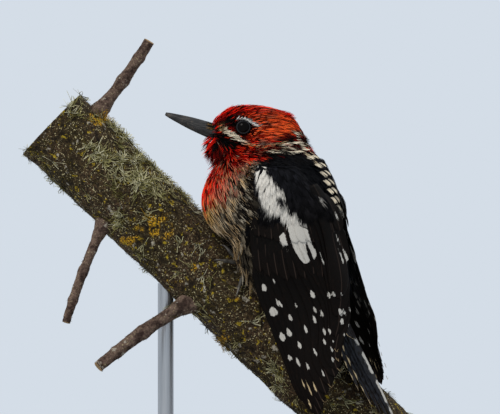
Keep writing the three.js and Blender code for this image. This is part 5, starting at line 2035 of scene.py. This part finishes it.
def grow_on_bark(name, unit_piece, cover, size, density, seed, tones, rise):
    clean(branch.data)
    store(branch, free=np.where(sawn, 0, cover), lie=np.tile(ALONG, (len(bark_points), 1)),
          long=size, wide=size)
    graph = scatter_graph(f"scatter_{name}", unit_piece, growth_finish, yaw=3.1)
    plants = Growth(branch, graph, density, seed)
    ray, _ = branch_ray(plants.root)
    wide = stored(plants.mesh, "wide")[:, None]
    plants.points = plants.points + ray * rise * (wide - 1) * plants.blade[:, 2:].clip(0)
    tone = (pick(plants.number, 7) * len(tones)).astype(int)
    crusted = ovals(*on_chart(plants.root), CRUST_PATCHES)
    tint = np.array(tones)[tone] * (0.6 + 0.5 * plants.strand)[:, None]
    tint = blend(tint, linear(176, 134, 26), (crusted > 0.1) * (pick(plants.number, 3) < 0.6))
    # Each frond darkens to near black at its base: painted shade deep in the tuft.
    tint = tint * (0.03 + 0.97 * plants.tip**1.3)[:, None]
    local = plants.root - BRANCH_AT
    turn = np.arctan2(local @ NEAR, local @ ABOVE) / (2 * np.pi) + 0.5
    at = np.stack([(local @ ALONG + 100) / 250, turn], 1)
    plants.piece(name, growth_finish, "bark", at, tint)


moss_size = 1.0 + 0.5 * grain(bark_points, 6, 40)
moss_cover = smooth(-0.1, 0.5, grain(bark_points, 4, 41) - 0.3 * skyward) * (1 - 0.7 * on_twig)
grow_on_bark("moss", sprig("moss_tuft", 3, 0.1, 0.7, 2, 6),
             moss_cover * smooth(1, 3, depth(bark_points)), moss_size, 0.3, 9, MOSS_TONES, 0.6)
frond_size = 2.6 + 1.8 * smooth(0.1, 0.6, clumps)
grow_on_bark("lichen", sprig("lichen_tuft", 6, 0.06, 0.9, 4, 2), lichen_cover * clear_of_bird,
             frond_size, 0.42, 5, LICHEN_TONES, 0.3)
clean(branch.data)

# %% [markdown]
# ## The stand
# The base is turned wood under a satin finish, and the rods are brushed steel. Their
# solids have the right shape, so they only need their finishes.

# %% Finishes of the stand
def paint_wood(g):
    rings = g.streaks(g.place, (18.0, 260.0, 260.0), 4.0)
    pores = g.streaks(g.place, (90.0, 1400.0, 1400.0))
    colour = g.mix(rings.between(0.3, 0.7), (44, 30, 22), (82, 58, 42))
    colour = g.mix(pores.between(0.6, 0.75) * 0.6, colour, (24, 17, 13))
    return {"Base Color": colour, "Roughness": 0.35 + 0.2 * pores, "Bump": (pores, 0.15, 0.0003)}


def paint_steel(g):
    brushed = g.streaks(g.place, (900.0, 900.0, 30.0))
    return {"Base Color": g.mix(brushed, (150, 152, 155), (196, 198, 200)),
            "Roughness": 0.28 + 0.2 * brushed}


wood_finish = finish("base_wood", paint_wood, Coat_Weight=0.25, Coat_Roughness=0.2)
steel_finish = finish("rod_steel", paint_steel, Metallic=1.0)
for name, material in (("stand_base", wood_finish), ("stand_rod_1", steel_finish),
                       ("stand_rod_2", steel_finish)):
    solid = nodes[name]
    solid.data.materials.clear()
    solid.data.materials.append(material)

# %% [markdown]
# ## Floor, light and camera
# A round pale floor carries the stand. The sky is a plain pale grey, with one large soft
# light high in front of the bird and a weaker one from behind.

# %% Floor
FLOOR_RADIUS, FLOOR_CORNERS, FLOOR_DROP = 600, 96, 0.05
angle = around(FLOOR_CORNERS)
disc = np.stack([FLOOR_RADIUS * np.cos(angle), FLOOR_RADIUS * np.sin(angle),
                 np.full(FLOOR_CORNERS, -FLOOR_DROP)], 1) - BODY_AT
floor = make_mesh("floor", disc, [list(range(FLOOR_CORNERS))])
pale_floor = finish("pale_floor", grainy(9, 3, (186, 190, 195), (196, 200, 205), 0.7, 0.1))
floor.data.materials.append(pale_floor)

# %% Light and sky
LIT_PLACE = Vector((0.01, 0, 0.17))
scene = bpy.context.scene
scene.view_settings.view_transform = "Standard"
sky = bpy.data.worlds.new("sky")
sky.use_nodes = True
background = sky.node_tree.nodes["Background"].inputs
background["Color"].default_value = (*linear(212, 221, 231), 1)
background["Strength"].default_value = 1.0
scene.world = sky


def soft_light(name, place, size, power):
    lamp = bpy.data.lights.new(name, "AREA")
    lamp.shape, lamp.size, lamp.energy = "DISK", size, power
    lamp.color = (1.0, 0.95, 0.88)
    holder = add_object(name, lamp)
    holder.location = place
    holder.rotation_mode = "QUATERNION"
    holder.rotation_quaternion = (LIT_PLACE - Vector(place)).to_track_quat("-Z", "Y")


soft_light("key", (-0.9, -1.3, 1.5), 1.0, 27)
soft_light("back", (1.2, 0.6, 1.5), 0.9, 12)

# %% Camera
CAMERA_AWAY = 3.0
VIEW_WIDTH = 0.25
VIEW_MIDDLE = (0.0095, 0.164)
SENSOR = 36
camera_data = bpy.data.cameras.new("camera")
camera_data.sensor_width = SENSOR
camera_data.lens = SENSOR * CAMERA_AWAY / VIEW_WIDTH
camera_data.clip_end = 50
camera = add_object("camera", camera_data)
camera.location = (VIEW_MIDDLE[0], -CAMERA_AWAY, VIEW_MIDDLE[1])
camera.rotation_euler = (np.pi / 2, 0, 0)
scene.camera = camera
